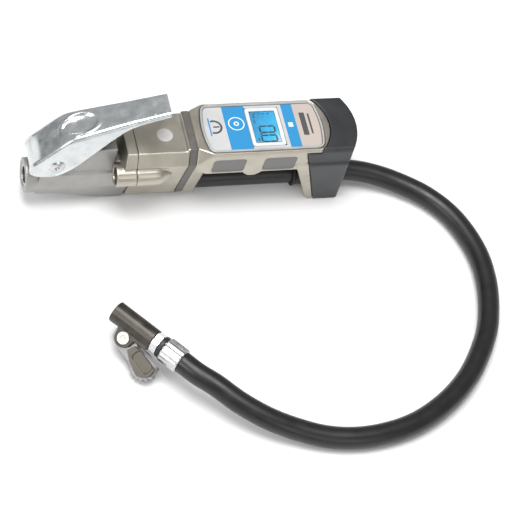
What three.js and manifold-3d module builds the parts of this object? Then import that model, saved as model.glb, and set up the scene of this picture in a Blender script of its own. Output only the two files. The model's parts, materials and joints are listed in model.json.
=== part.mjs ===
// A hand-held tyre inflator with a digital gauge: a die-cast valve and display housing,
// a pressed-steel lever, and a short hose that ends in a clip-on tyre connector.
// Millimetres. +X runs from the air inlet to the rubber end boot, +Z is the display's normal.
import * as THREE from "three";
import { mergeVertices } from "three/addons/utils/BufferGeometryUtils.js";
import Module from "manifold-3d";

const wasm = await Module();
wasm.setup();

// ---- Driving dimensions -------------------------------------------------------------------

const FIT = 0.3; // gap between two pieces that touch
const SLIDE = 0.35; // radial gap of a piece that slides or turns

// Whole body
const BODY_LENGTH = 221; // inlet face to the boot's end
const BODY_HEIGHT = 63.7; // floor to the display housing's top face
const BODY_WIDTH = 43.6; // display housing across its sides

// Valve casting
const CASTING_LENGTH = 69.5; // inlet face to the seam with the rear housing
const NOSE_RADIUS = 11.7;
const NOSE_LENGTH = 13;
const NOSE_HEIGHT = 24.2; // inlet axis above the floor
const NECK_HALF = 9.8; // upper part, between the lever's flanges
const FLANK_HALF = 11.5; // lower part
const FLANK_TOP = 36; // height at which the flank ends and the neck begins
const KEEL_HALF = 3.5; // flat that rests on the floor
const BLOCK_TOP = 58.5;
const NECK_TOP = 62;
const INLET_BORE = 6.2;
const INLET_DEPTH = 16;
const GALLERY_RADIUS = 2;
const GALLERY_HEIGHT = 33;
const TONGUE = 5; // how far the casting reaches into the rear housing
const TONGUE_HALF = 10;
const TONGUE_TOP = 46;

// Shield-shaped section of the rear housing's valve end
const SHIELD_TOP_HALF = 16.4;
const SHIELD_HALF = 20.5;
const SHIELD_DROP = 10; // top to widest point
const SHIELD_TOP = 61.1;
const KEEL_WALL = 2.15; // round bottom about the hose axis, outside the hose
const VALVE_SECTION = 34.1; // seam to groove band
const HOUSING_WALL = 2.5;
const BAND_WIDTH = 5.5;
const BAND_DEPTH = 1.2;

// Side bosses that hold the two long housing screws
const BOSS_SIDE = 18; // axis from the middle plane
const BOSS_HEIGHT = 42;
const BOSS_RADIUS = 7.7;
const BOSS_BORE = 5.8;
const BOSS_FRONT = 13.5; // mouth ahead of the seam
const BOSS_REAR = 21.5; // rounded end behind the seam
const BOSS_STEPS = 3; // stepped rings of the fading boss
const BOSS_STEP = 1.6; // how much farther each ring reaches than the one inside it
const COLLAR_FRONT = 7; // collar's top edge ahead of the seam

// Display housing
const DISPLAY_DEPTH = 23.7; // top face to underside
const BELLY_HEIGHT = BODY_HEIGHT - DISPLAY_DEPTH;
const BEVEL_HALF = 21; // half width of the top face
const BEVEL_DROP = 3.3;
const BELLY_HALF = 17; // flat of the underside
const WALL_LEAN = 1.6; // how far a side wall leans in towards its foot
const WALL_FOOT = 1.2; // height of that foot above the belly
const FLARE = 9; // groove band to the full display section
const PANEL_DEPTH = 0.8; // recess of the two grip panels
const PANEL_LOW = 42.2;
const PANEL_HIGH = 57;
const PANEL_CORNER = 2.5;
const BULKHEAD = 8; // solid wall behind the groove band
const RIDGE_DROP = 2.6; // finger ridge under the belly
const RIDGE_WIDTH = 12;

// Leg and rubber boot
const LEG_LEFT_TOP = 40; // leg's front edge at belly height, from the boot's end
const LEG_LEFT_LOW = 26; // leg's front edge at the floor, from the boot's end
const LEG_FOOT_HALF = 14.5;
const LEG_CHAMFER = 4;
const END_ARC = 40; // radius of the boot's end in plan
const BOOT_WALL = 2.6;
const BOOT_PROUD = 0.5;
const BOOT_CORNER = 37.5; // boot's upper front corner, from its end
const BOOT_FOOT = 18.5; // boot's lower front corner, from its end
const BOOT_TOP_EDGE = 18; // middle of the arched top edge, from the boot's end
const BOOT_TOP_ARC = 30;
const BOOT_LIP_DROP = 4; // height of the boot's side corner below the top face

// Display
const BEZEL_HALF = 19.8;
const BEZEL_ARC = 70; // radius of both ends
const BEZEL_CORNER = 5.5;
const BEZEL_MARGIN = 5.4; // to the groove band and to the boot's top edge
const BEZEL_RIM = 1.5;
const BEZEL_THICK = 2.2;
const BEZEL_PROUD = 0.5;
const LABEL_THICK = 0.8;
const LEDGE = 2; // width of the ledge that carries the label
const WINDOW_LENGTH = 17.8; // along X
const WINDOW_WIDTH = 26.6;
const WINDOW_SHIFT = 2; // from the bezel's middle towards the boot
const FRAME_RIM = 2.6;
const LCD_THICK = 2.8;
const BOARD_THICK = 1.6;
const BATTERY_RADIUS = 5.25;
const BATTERY_LENGTH = 44.5;
const CONTACT_THICK = 0.8;

// Hose
const HOSE_RADIUS = 7.25;
const HOSE_BORE_HEIGHT = 12; // axis where the body holds it
const HOSE_START = 98;
const HOSE_STEPS = 66;
const HOSE_SIDES = 10;
const SLEEVE_WALL = 1.1;
const SLEEVE_LENGTH = 26;
const SLEEVE_LIP = 1.6;
const SLEEVE_FLANGE = 0.9;

// Lever
const PIVOT_X = 17.8;
const PIVOT_Z = 47.7;
const PIN_RADIUS = 2.6;
const PIN_HEAD_RADIUS = 5.4;
const PIN_HEAD = 1.8;
const LEVER_SHEET = 1.6;
const LEVER_FRONT_HALF = 13.3;
const LEVER_MID_HALF = 12.2;
const LEVER_TIP_HALF = 9.4;
const LEVER_TIP = 87.7; // tip from the inlet face
const DISH_X = 31.5; // thumb dish in the lever's plate
const DISH_LENGTH = 21;
const DISH_WIDTH = 15;
const DISH_DEPTH = 2.2;

// Valve plungers
const PLUNGER_RADIUS = 2.4;
const CHAMBER_RADIUS = 4.6;
const CHAMBER_FLOOR = 25;
const GLAND_LENGTH = 7;
const SHOULDER = 2; // plunger's disc
const SEAT = 2;
const INFLATE_X = 33;
const DEFLATE_X = 50.7;
const COIL_WIRE = 0.5;

// Clip-on connector, in its own frame: x from the mouth towards the hose, y towards the clip
const CONNECTOR_AT = [43.15, -110.15, 21.7];
const CONNECTOR_HEADING = -49.8; // degrees, direction of the hose end in plan
const CONNECTOR_ROLL = 47; // degrees the clip side points below the horizontal
const CHUCK_RADIUS = 7.3;
const CHUCK_LENGTH = 31.7;
const CHUCK_BORE = 4.2;
const CHUCK_DEPTH = 9;
const HEX_LENGTH = 5.3;
const HEX_RADIUS = 7.6;
const BAND_LENGTH = 3;
const FERRULE_RADIUS = 8.6;
const FERRULE_LENGTH = 14.5;
const CLIP_PIN_X = 15.3;
const CLIP_PIN_Y = 9.45;
const CLIP_PIN_RADIUS = 2;
const CLIP_HEAD_RADIUS = 4.1;
const CLIP_EYE_RADIUS = 8.4;
const CHEEK_RADIUS = 6.4;
const CHEEK_HALF = 5.6; // outer faces of the two cheeks
const WEB_HALF = 2.8; // half thickness of the clip lever's middle web
const CLIP_TEETH = 7;
const TOOTH_RADIUS = 1.2;

// ---- Materials ----------------------------------------------------------------------------

const finish = (color, roughness, metalness) =>
  new THREE.MeshStandardMaterial({ color, roughness, metalness });
const castZinc = finish(0xb9b7b2, 0.55, 0.7);
const satinNickel = finish(0xb3a996, 0.38, 0.85);
const zincPlate = finish(0xd3d8dc, 0.22, 0.95);
const steel = finish(0xc4c6c8, 0.28, 0.95);
const brass = finish(0xb89b5a, 0.35, 0.9);
const bandGrey = finish(0x7d7b75, 0.6, 0.3);
const bootRubber = finish(0x2b2d2f, 0.6, 0);
const hoseRubber = finish(0x161617, 0.5, 0);
const sealRubber = finish(0x1d1d1d, 0.7, 0);
const clearGrey = finish(0xc9ced2, 0.15, 0);
const labelFilm = finish(0xd2d2d0, 0.3, 0);
const framePlastic = finish(0xe6e8ea, 0.25, 0);
const lcdBlue = finish(0x3aaede, 0.15, 0);
const boardGreen = finish(0x2d5b3c, 0.5, 0);
const batterySleeve = finish(0x2f5f8a, 0.35, 0.2);
const chuckBronze = finish(0x5c554b, 0.42, 0.8);
const clipOlive = finish(0x756d5e, 0.5, 0.6);
const blackPlastic = finish(0x17181a, 0.45, 0);

// ---- Helpers ------------------------------------------------------------------------------

// The solid of a closed geometry, its shared vertices merged.
function solid(geometry) {
  const bare = new THREE.BufferGeometry();
  const loose = geometry.index ? geometry.toNonIndexed() : geometry;
  bare.setAttribute("position", loose.getAttribute("position").clone());
  const merged = mergeVertices(bare, 1e-4);
  const mesh = new wasm.Mesh({
    numProp: 3,
    vertProperties: new Float32Array(merged.attributes.position.array),
    triVerts: new Uint32Array(merged.index.array),
  });
  return new wasm.Manifold(mesh);
}

function geometryOf(manifold) {
  const mesh = manifold.getMesh();
  const geometry = new THREE.BufferGeometry();
  geometry.setAttribute("position", new THREE.BufferAttribute(mesh.vertProperties, 3));
  geometry.setIndex(new THREE.BufferAttribute(mesh.triVerts, 1));
  geometry.computeVertexNormals();
  return geometry;
}

const joined = (...solids) => solids.reduce((a, b) => a.add(b));
const cut = (from, ...tools) => tools.reduce((a, b) => a.subtract(b), from);

const shapeOf = (points) => new THREE.Shape(points.map(([u, v]) => new THREE.Vector2(u, v)));
const extruded = (shape, depth) =>
  new THREE.ExtrudeGeometry(shape, { depth, bevelEnabled: false, curveSegments: 10 });

// An outline in the XZ plane, extruded from y0 to y1.
function alongY(points, y0, y1) {
  const geometry = extruded(shapeOf(points), y1 - y0);
  geometry.rotateX(Math.PI / 2);
  return solid(geometry.translate(0, y1, 0));
}

// An outline in the YZ plane, extruded from x0 to x1.
function alongX(points, x0, x1) {
  const geometry = extruded(shapeOf(points), x1 - x0);
  const turn = new THREE.Matrix4().makeBasis(
    new THREE.Vector3(0, 1, 0),
    new THREE.Vector3(0, 0, 1),
    new THREE.Vector3(1, 0, 0),
  );
  return solid(geometry.applyMatrix4(turn).translate(x0, 0, 0));
}

// An outline in the XY plane, extruded from z0 to z1.
const alongZ = (points, z0, z1) =>
  solid(extruded(shapeOf(points), z1 - z0).translate(0, 0, z0));

function box(x0, x1, y0, y1, z0, z1) {
  const geometry = new THREE.BoxGeometry(x1 - x0, y1 - y0, z1 - z0);
  return solid(geometry.translate((x0 + x1) / 2, (y0 + y1) / 2, (z0 + z1) / 2));
}

// A profile of [radius, distance] pairs, listed with the distance rising along the outside,
// turned about the line through start in the given direction.
function turned(profile, start, direction, segments = 24) {
  const points = profile.map(([radius, distance]) => new THREE.Vector2(radius, distance));
  const geometry = new THREE.LatheGeometry(points, segments);
  const up = new THREE.Vector3(0, 1, 0);
  const towards = new THREE.Vector3(...direction).normalize();
  geometry.applyQuaternion(new THREE.Quaternion().setFromUnitVectors(up, towards));
  return solid(geometry.translate(...start));
}

const rod = (start, direction, radius, length, segments = 24) =>
  turned([[0, 0], [radius, 0], [radius, length], [0, length]], start, direction, segments);

const ring = (start, direction, inner, outer, length, segments = 24) =>
  turned(
    [[inner, 0], [outer, 0], [outer, length], [inner, length], [inner, 0]],
    start,
    direction,
    segments,
  );

// Points of an arc of a circle about (u, v), from one angle to another in degrees.
function arc(u, v, radius, from, to, steps = 8) {
  return Array.from({ length: steps + 1 }, (_, i) => {
    const angle = THREE.MathUtils.degToRad(from + ((to - from) * i) / steps);
    return [u + radius * Math.cos(angle), v + radius * Math.sin(angle)];
  });
}

const mirrored = (half) => [...half, ...half.map(([u, v]) => [-u, v]).reverse()];

// A round wire along a line of points.
function wire(points, radius, steps, sides) {
  const path = new THREE.CatmullRomCurve3(points.map((p) => new THREE.Vector3(...p)));
  const section = shapeOf(arc(0, 0, radius, 0, 360, sides).slice(0, sides));
  const geometry = new THREE.ExtrudeGeometry(section, { steps, extrudePath: path });
  return solid(geometry);
}

// A compression spring about a vertical line, from its lowest to its highest coil centre.
function coil(x, y, low, high, radius, wireRadius, turns) {
  const perTurn = 10;
  const points = Array.from({ length: turns * perTurn + 1 }, (_, i) => {
    const angle = (2 * Math.PI * i) / perTurn;
    const z = low + ((high - low) * i) / (turns * perTurn);
    return [x + radius * Math.cos(angle), y + radius * Math.sin(angle), z];
  });
  return wire(points, wireRadius, turns * perTurn, 6);
}

const body = new THREE.Group();
const connector = new THREE.Group();
body.add(connector);

function piece(name, material, shape, parent = body) {
  const mesh = new THREE.Mesh(geometryOf(shape), material);
  mesh.name = name;
  parent.add(mesh);
}

// ---- Places that several pieces share -----------------------------------------------------

const X = [1, 0, 0];
const Y = [0, 1, 0];
const Z = [0, 0, 1];
const seam = CASTING_LENGTH;
const bandStart = seam + VALVE_SECTION;
const bandEnd = bandStart + BAND_WIDTH;
const displayStart = bandEnd + BULKHEAD;
const halfWidth = BODY_WIDTH / 2;
const bootGap = FIT;
const sleeveRadius = HOSE_RADIUS + SLIDE + SLEEVE_WALL;
const hoseHole = HOSE_RADIUS + SLIDE;
const keelRadius = HOSE_RADIUS + KEEL_WALL;

// ---- Shield-shaped housing sections --------------------------------------------------------

// The outline narrows from its shoulders to a round keel about the hose axis.
function shield(inset, top = SHIELD_TOP) {
  const radius = keelRadius - inset;
  const keel = arc(0, HOSE_BORE_HEIGHT, radius, -90, 0, 6).slice(1);
  return mirrored([
    [0.001, HOSE_BORE_HEIGHT - radius],
    ...keel,
    [SHIELD_HALF - inset, SHIELD_TOP - SHIELD_DROP],
    [SHIELD_TOP_HALF - inset * 0.6, top - inset],
  ]);
}

// ---- Valve casting ------------------------------------------------------------------------

const nosePlace = [0, 0, NOSE_HEIGHT];
const castingOutline = [
  [NOSE_LENGTH - 5, NOSE_HEIGHT - NOSE_RADIUS + 1],
  [NOSE_LENGTH + 7, NOSE_HEIGHT - NOSE_RADIUS],
  [48, 2],
  [60, 0],
  [seam - FIT, 0],
  [seam - FIT, TONGUE_TOP],
  [DEFLATE_X + CHAMBER_RADIUS + 2.1, TONGUE_TOP],
  [DEFLATE_X + CHAMBER_RADIUS + 2.1, BLOCK_TOP],
  [DEFLATE_X - CHAMBER_RADIUS - 2.1, BLOCK_TOP],
  [INFLATE_X + CHAMBER_RADIUS + 2, NECK_TOP],
  [INFLATE_X - CHAMBER_RADIUS - 2, NECK_TOP],
  [PIVOT_X + 2, NECK_TOP - 4],
  [PIVOT_X - 9.8, 46],
];
const castingSection = mirrored([
  [KEEL_HALF, 0],
  [FLANK_HALF, 22],
  [FLANK_HALF, FLANK_TOP],
  [NECK_HALF, FLANK_TOP + 1.5],
  [NECK_HALF, NECK_TOP + 1],
]);

const chamber = (x, top) =>
  rod([x, 0, CHAMBER_FLOOR], Z, CHAMBER_RADIUS, top - CHAMBER_FLOOR + 1);

const hosePortX = 62;
const galleryDrop = GALLERY_HEIGHT - HOSE_BORE_HEIGHT;
const castingBlank = alongY(castingOutline, -FLANK_HALF, FLANK_HALF)
  .intersect(alongX(castingSection, 0, seam))
  .add(rod(nosePlace, X, NOSE_RADIUS, NOSE_LENGTH + 4, 32))
  .add(
    alongX(shield(HOUSING_WALL + FIT), seam - 2, seam + TONGUE).intersect(
      box(seam - 2, seam + TONGUE, -TONGUE_HALF, TONGUE_HALF, 0, TONGUE_TOP - 2),
    ),
  );
piece(
  "valve_casting",
  castZinc,
  cut(
    castingBlank,
    rod([-1, 0, NOSE_HEIGHT], X, INLET_BORE + 1.4, INLET_DEPTH + 1),
    rod([INLET_DEPTH - 1, 0, NOSE_HEIGHT], X, 3.6, INFLATE_X - INLET_DEPTH + 1, 16),
    rod([INFLATE_X, 0, NOSE_HEIGHT], Z, 3, 4, 16),
    rod([PIVOT_X, -FLANK_HALF - 1, PIVOT_Z], Y, PIN_RADIUS + FIT, 2 * FLANK_HALF + 2),
    chamber(INFLATE_X, NECK_TOP),
    chamber(DEFLATE_X, BLOCK_TOP),
    rod([INFLATE_X, 0, GALLERY_HEIGHT], X, GALLERY_RADIUS, seam + TONGUE + 1 - INFLATE_X, 12),
    rod([hosePortX, 0, HOSE_BORE_HEIGHT], X, 4.3, seam + TONGUE + 1 - hosePortX, 20),
    rod([hosePortX + 2.5, 0, HOSE_BORE_HEIGHT], Z, GALLERY_RADIUS, galleryDrop, 12),
  ),
);
piece(
  "inlet_bush",
  steel,
  ring([0.6, 0, NOSE_HEIGHT], X, INLET_BORE - 0.4, INLET_BORE + 1.4 - FIT, INLET_DEPTH - 4.5, 32),
);
piece(
  "inlet_filter",
  brass,
  rod([INLET_DEPTH - 2.8, 0, NOSE_HEIGHT], X, INLET_BORE + 1.4 - FIT, 2.2, 20),
);

// ---- Two sprung valves under the lever -----------------------------------------------------

// The lever's top line, from its front edge over the kink to the tip.
const leverTop = [
  [0.6, 41],
  [2, 48.3],
  [12.1, 60],
  [22.2, 71.2],
  [27.6, 74],
  [55.4, 83],
  [LEVER_TIP, 92.5],
];
const rise = (92.5 - 74) / (LEVER_TIP - 27.6);
const underPlate = (x) => 74 + rise * (x - 27.6) - LEVER_SHEET * Math.hypot(1, rise);

const dishDrop = DISH_DEPTH * Math.hypot(1, rise);

function valve(name, x, top, drop) {
  const pinTop = underPlate(x - PLUNGER_RADIUS) - drop - FIT;
  const shoulderTop = top - GLAND_LENGTH - FIT;
  const shoulder = CHAMBER_RADIUS - SLIDE;
  const coilTop = shoulderTop - SHOULDER - FIT - COIL_WIRE;
  const coilLow = CHAMBER_FLOOR + FIT + SEAT + FIT + COIL_WIRE;
  piece(
    `${name}_gland`,
    brass,
    ring([x, 0, top - GLAND_LENGTH], Z, PLUNGER_RADIUS + SLIDE, CHAMBER_RADIUS - FIT, GLAND_LENGTH + 1),
  );
  piece(
    `${name}_plunger`,
    steel,
    turned(
      [
        [0, shoulderTop - SHOULDER],
        [shoulder, shoulderTop - SHOULDER],
        [shoulder, shoulderTop],
        [PLUNGER_RADIUS, shoulderTop],
        [PLUNGER_RADIUS, pinTop - 1],
        [PLUNGER_RADIUS - 1, pinTop],
        [0, pinTop],
      ],
      [x, 0, 0],
      Z,
    ),
  );
  piece(`${name}_spring`, steel, coil(x, 0, coilLow, coilTop, CHAMBER_RADIUS - 1.3, COIL_WIRE, 5));
  piece(
    `${name}_seat`,
    sealRubber,
    ring([x, 0, CHAMBER_FLOOR + FIT], Z, 2.4, CHAMBER_RADIUS - FIT, SEAT),
  );
}
valve("inflate", INFLATE_X, NECK_TOP, dishDrop);
valve("deflate", DEFLATE_X, BLOCK_TOP, 0);

// ---- Lever and its pin --------------------------------------------------------------------

const leverEdge = [
  [LEVER_TIP, 89.3],
  [64.2, 82.4],
  [56.6, 76.1],
  [46, 63.2],
  [37.7, 53.9],
  [29.3, 44.4],
  [22.2, 39.5],
  [17.6, 37.6],
  [10.8, 38.2],
  [0.6, 40.2],
];
const leverPlan = (inset) =>
  mirrored([
    [LEVER_FRONT_HALF - inset, -2],
    [LEVER_MID_HALF - inset, PIVOT_X + 4],
    [LEVER_MID_HALF - inset, 56],
    [LEVER_TIP_HALF - inset, LEVER_TIP + 1],
  ]).map(([half, x]) => [x, half]);
const leverHollow = [
  [2.2, 36],
  [2.2, 41],
  [3.6, 47.7],
  [13.3, 58.9],
  [23.2, 69.9],
  [28.2, 72.5],
  [55.8, 81.4],
  [LEVER_TIP + 2, 90.9],
  [LEVER_TIP + 2, 36],
];
const leverSpan = LEVER_FRONT_HALF + 1;
const leverBlank = alongY([...leverTop, ...leverEdge], -leverSpan, leverSpan).intersect(
  alongZ(leverPlan(0).reverse(), 30, 100),
);
const leverCore = alongY([...leverHollow].reverse(), -leverSpan, leverSpan).intersect(
  alongZ(leverPlan(LEVER_SHEET).reverse(), 30, 100),
);
const pinHole = rod([PIVOT_X, -leverSpan, PIVOT_Z], Y, PIN_RADIUS + SLIDE, 2 * leverSpan);

// The thumb dish: a half ellipsoid pressed into the plate, its sheet as thick as the rest.
const bowl = (grow) =>
  wasm.Manifold.sphere(1, 32)
    .scale([DISH_LENGTH / 2 + grow, DISH_WIDTH / 2 + grow, DISH_DEPTH + grow])
    .rotate([0, -THREE.MathUtils.radToDeg(Math.atan(rise)), 0])
    .translate([DISH_X, 0, 74 + rise * (DISH_X - 27.6)]);
piece("lever", zincPlate, cut(leverBlank, cut(leverCore, bowl(LEVER_SHEET)), pinHole, bowl(0)));

const leverHalfAtPivot =
  LEVER_MID_HALF + ((LEVER_FRONT_HALF - LEVER_MID_HALF) * 4) / (PIVOT_X + 6);
const pinEnd = leverHalfAtPivot + FIT + 0.2;
piece(
  "lever_pin",
  steel,
  turned(
    [
      [0, -pinEnd - PIN_HEAD],
      [PIN_HEAD_RADIUS - 2, -pinEnd - PIN_HEAD],
      [PIN_HEAD_RADIUS, -pinEnd - 0.4],
      [PIN_HEAD_RADIUS, -pinEnd],
      [PIN_RADIUS, -pinEnd],
      [PIN_RADIUS, pinEnd],
      [PIN_HEAD_RADIUS, pinEnd],
      [PIN_HEAD_RADIUS, pinEnd + 0.4],
      [PIN_HEAD_RADIUS - 2, pinEnd + PIN_HEAD],
      [0, pinEnd + PIN_HEAD],
    ],
    [PIVOT_X, 0, PIVOT_Z],
    Y,
  ),
);

// ---- Side bosses and front collar ---------------------------------------------------------

// One side's boss: a round-ended cylinder with thinner rings about its end that fade out.
function boss(side, from) {
  const rings = Array.from({ length: BOSS_STEPS }, (_, i) => {
    const radius = BOSS_RADIUS - 0.9 * i;
    const straight = BOSS_REAR + BOSS_STEP * i - radius;
    const end = arc(0, straight, radius, 0, 90, 6);
    const place = [from, side * (BOSS_SIDE - 0.5 * i), BOSS_HEIGHT - 0.4 * i];
    return turned([[0, 0], [radius, 0], ...end.slice(0, -1), [0, straight + radius]], place, X, 20);
  });
  return joined(...rings);
}

const sides = [-1, 1];
const bossBore = (side, from, length) =>
  rod([from, side * BOSS_SIDE, BOSS_HEIGHT], X, BOSS_BORE, length, 20);

const collarOutline = [
  [seam - COLLAR_FRONT, SHIELD_TOP + 1],
  [seam - COLLAR_FRONT - 1.5, 48],
  [seam - BOSS_FRONT + 2, 40],
  [seam - BOSS_FRONT + 2, 26],
  [seam - FIT, 24],
  [seam - FIT, SHIELD_TOP + 1],
];
const castingHole = mirrored([
  [FLANK_HALF + FIT, 0],
  [FLANK_HALF + FIT, FLANK_TOP],
  [NECK_HALF + FIT, FLANK_TOP + 1.5 + FIT],
  [NECK_HALF + FIT, TONGUE_TOP + FIT],
]);
const collarBlank = alongX(shield(0), 0, seam)
  .intersect(alongY([...collarOutline].reverse(), -30, 30))
  .add(
    joined(
      ...sides.map((side) =>
        rod([seam - BOSS_FRONT, side * BOSS_SIDE, BOSS_HEIGHT], X, BOSS_RADIUS, BOSS_FRONT - FIT, 20),
      ),
    ),
  );
piece(
  "front_collar",
  satinNickel,
  cut(
    collarBlank,
    alongX(castingHole, 0, seam + 1),
    ...sides.map((side) => bossBore(side, seam - BOSS_FRONT - 1, BOSS_FRONT - 3)),
    ...sides.map((side) => rod([seam - 6, side * BOSS_SIDE, BOSS_HEIGHT], X, 2.3, 8, 16)),
  ),
);

const screwLength = 16;
for (const side of sides) {
  const headStart = seam - 4 - FIT - 4;
  piece(
    side < 0 ? "housing_screw_near" : "housing_screw_far",
    steel,
    turned(
      [
        [0, 1.6],
        [1.8, 1.6],
        [1.8, 0],
        [4, 0],
        [4, 4 - FIT],
        [2, 4 - FIT],
        [2, screwLength],
        [0, screwLength],
      ],
      [headStart, side * BOSS_SIDE, BOSS_HEIGHT],
      X,
      20,
    ),
  );
}

// ---- Rear housing, leg and boot -----------------------------------------------------------

// Plan of the display housing with its arched end, grown by an offset.
function plan(from, offset) {
  const half = halfWidth + offset;
  const end = BODY_LENGTH + offset;
  const reach = THREE.MathUtils.radToDeg(Math.asin(half / (END_ARC + offset)));
  const centre = end - END_ARC - offset;
  return [[from, -half], ...arc(centre, 0, END_ARC + offset, -reach, reach, 12), [from, half]];
}

// Section of the display housing above its belly, grown by an offset.
function displaySection(offset) {
  const half = halfWidth + offset;
  const top = BODY_HEIGHT + offset;
  return mirrored([
    [BELLY_HALF, BELLY_HEIGHT - offset],
    [half - WALL_LEAN, BELLY_HEIGHT + WALL_FOOT - offset],
    [half, top - BEVEL_DROP],
    [half - (halfWidth - BEVEL_HALF), top],
  ]);
}

// Outer shape of the display housing and its leg, grown by an offset.
function envelope(offset) {
  const end = BODY_LENGTH + 5;
  const foot = Math.max(0, -offset);
  const half = halfWidth + offset;
  const legSide = [
    [BODY_LENGTH - LEG_LEFT_TOP - offset - 3, BELLY_HEIGHT + 8],
    [BODY_LENGTH - LEG_LEFT_TOP - offset, BELLY_HEIGHT],
    [BODY_LENGTH - LEG_LEFT_LOW - offset, foot + LEG_CHAMFER],
    [BODY_LENGTH - LEG_LEFT_LOW - offset + LEG_CHAMFER, foot],
    [BODY_LENGTH - LEG_CHAMFER + offset, foot],
    [end, foot + LEG_CHAMFER],
    [end, BELLY_HEIGHT + 8],
  ];
  const legFront = mirrored([
    [LEG_FOOT_HALF + offset, 0],
    [half, BELLY_HEIGHT + 6],
    [half, BELLY_HEIGHT + 9],
  ]);
  const leg = alongY(legSide, -30, 30).intersect(alongX(legFront, displayStart, end));
  return alongX(displaySection(offset), bandEnd + FLARE, end)
    .add(leg)
    .intersect(alongZ(plan(bandEnd, offset), -1, BODY_HEIGHT + 5));
}

// The space that the boot takes, with its front edges moved forward by a gap.
function bootSpace(gap) {
  const lip = BODY_HEIGHT - BOOT_LIP_DROP;
  const end = BODY_LENGTH + 6;
  const sidePart = alongY(
    [
      [BODY_LENGTH - BOOT_CORNER - gap, lip + gap],
      [BODY_LENGTH - BOOT_FOOT - gap, -1],
      [end, -1],
      [end, lip + gap],
    ],
    -30,
    30,
  );
  const edge = BODY_LENGTH - BOOT_TOP_EDGE - gap;
  const reach = 55;
  const arch = arc(edge - BOOT_TOP_ARC, 0, BOOT_TOP_ARC, reach, -reach, 12);
  const square = [[edge - 8, -40], [end, -40], [end, 40], [edge - 8, 40]];
  const topPart = alongZ([...arch, ...square].reverse(), lip - 2, BODY_HEIGHT + 5);
  return sidePart.add(topPart);
}

const cavityEnd = BODY_LENGTH - BOOT_TOP_EDGE - BEZEL_MARGIN - 3;
const bezelStart = bandEnd + BEZEL_MARGIN;
const bezelEnd = BODY_LENGTH - BOOT_TOP_EDGE - BEZEL_MARGIN;

// Outline of the bezel, whose ends are shallow arcs with rounded corners, made smaller by an inset.
function bezelOutline(inset) {
  const straight = BEZEL_HALF - BEZEL_CORNER;
  const reach = THREE.MathUtils.radToDeg(Math.asin(straight / (BEZEL_ARC - BEZEL_CORNER)));
  const corner = BEZEL_CORNER - inset;
  const bow = BEZEL_ARC - inset;
  const cornerIn = Math.sqrt((BEZEL_ARC - BEZEL_CORNER) ** 2 - straight ** 2);
  const right = bezelEnd - BEZEL_ARC;
  const left = bezelStart + BEZEL_ARC;
  return [
    ...arc(right + cornerIn, -straight, corner, -90, -reach, 5),
    ...arc(right, 0, bow, -reach, reach, 6).slice(1, -1),
    ...arc(right + cornerIn, straight, corner, reach, 90, 5),
    ...arc(left - cornerIn, straight, corner, 90, 180 - reach, 5),
    ...arc(left, 0, bow, 180 - reach, 180 + reach, 6).slice(1, -1),
    ...arc(left - cornerIn, -straight, corner, 180 + reach, 270, 5),
  ];
}

const bezelTop = BODY_HEIGHT + BEZEL_PROUD;
const bezelFloor = bezelTop - BEZEL_THICK;
const ledgeHeight = bezelFloor - LABEL_THICK - 2 * FIT;
const cavityHalf = halfWidth - HOUSING_WALL - 1;
const cavityFloor = BELLY_HEIGHT + HOUSING_WALL;
const cavityStart = bezelStart + LEDGE + 6.5;

const panelStart = displayStart + 3;
const panelEnd = BODY_LENGTH - LEG_LEFT_TOP - 3;
const ridgeMiddle = (panelStart + panelEnd) / 2;
// A grip panel on each side of the ridge, its corners rounded, cut to an even depth.
function panelOutline(x0, x1) {
  const [u0, u1] = [x0 + PANEL_CORNER, x1 - PANEL_CORNER];
  const [v0, v1] = [PANEL_LOW + PANEL_CORNER, PANEL_HIGH - PANEL_CORNER];
  return [
    ...arc(u1, v0, PANEL_CORNER, -90, 0, 4),
    ...arc(u1, v1, PANEL_CORNER, 0, 90, 4),
    ...arc(u0, v1, PANEL_CORNER, 90, 180, 4),
    ...arc(u0, v0, PANEL_CORNER, 180, 270, 4),
  ];
}
const panelSpans = [
  [panelStart, ridgeMiddle - RIDGE_WIDTH / 2],
  [ridgeMiddle + RIDGE_WIDTH / 2, panelEnd],
];
const panelCuts = panelSpans.map(([x0, x1]) =>
  alongY(panelOutline(x0, x1), -30, 30).subtract(
    alongX(displaySection(-PANEL_DEPTH), x0 - 1, x1 + 1),
  ),
);
const ridgeHalf = halfWidth - WALL_LEAN;
const ridge = alongY(
  [
    [ridgeMiddle - RIDGE_WIDTH / 2, BELLY_HEIGHT + WALL_FOOT + 1],
    [ridgeMiddle - RIDGE_WIDTH / 2, BELLY_HEIGHT],
    [ridgeMiddle - RIDGE_WIDTH / 5, BELLY_HEIGHT - RIDGE_DROP],
    [ridgeMiddle + RIDGE_WIDTH / 5, BELLY_HEIGHT - RIDGE_DROP],
    [ridgeMiddle + RIDGE_WIDTH / 2, BELLY_HEIGHT],
    [ridgeMiddle + RIDGE_WIDTH / 2, BELLY_HEIGHT + WALL_FOOT + 1],
  ],
  -ridgeHalf,
  ridgeHalf,
);

const bulkheadBlock = alongX(shield(0, BODY_HEIGHT), bandEnd, displayStart);
const sliceOf = (section, x) => alongX(section, x - 0.5, x);
const upperShield = alongX(shield(0, BODY_HEIGHT), bandEnd, bandEnd + 0.5).intersect(
  box(bandEnd - 1, bandEnd + 1, -30, 30, BELLY_HEIGHT + WALL_FOOT, BODY_HEIGHT + 1),
);
const flare = wasm.Manifold.hull([upperShield, sliceOf(displaySection(0), bandEnd + FLARE + 0.5)]);
const bandCore = alongX(shield(BAND_DEPTH, BODY_HEIGHT), bandStart - 1, bandEnd + 1);
const valveEnd = alongX(shield(0), seam, bandStart);
const tailSpace = HOSE_START - 8;
const bossesBehindSeam = joined(...sides.map((side) => boss(side, seam)));

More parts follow.
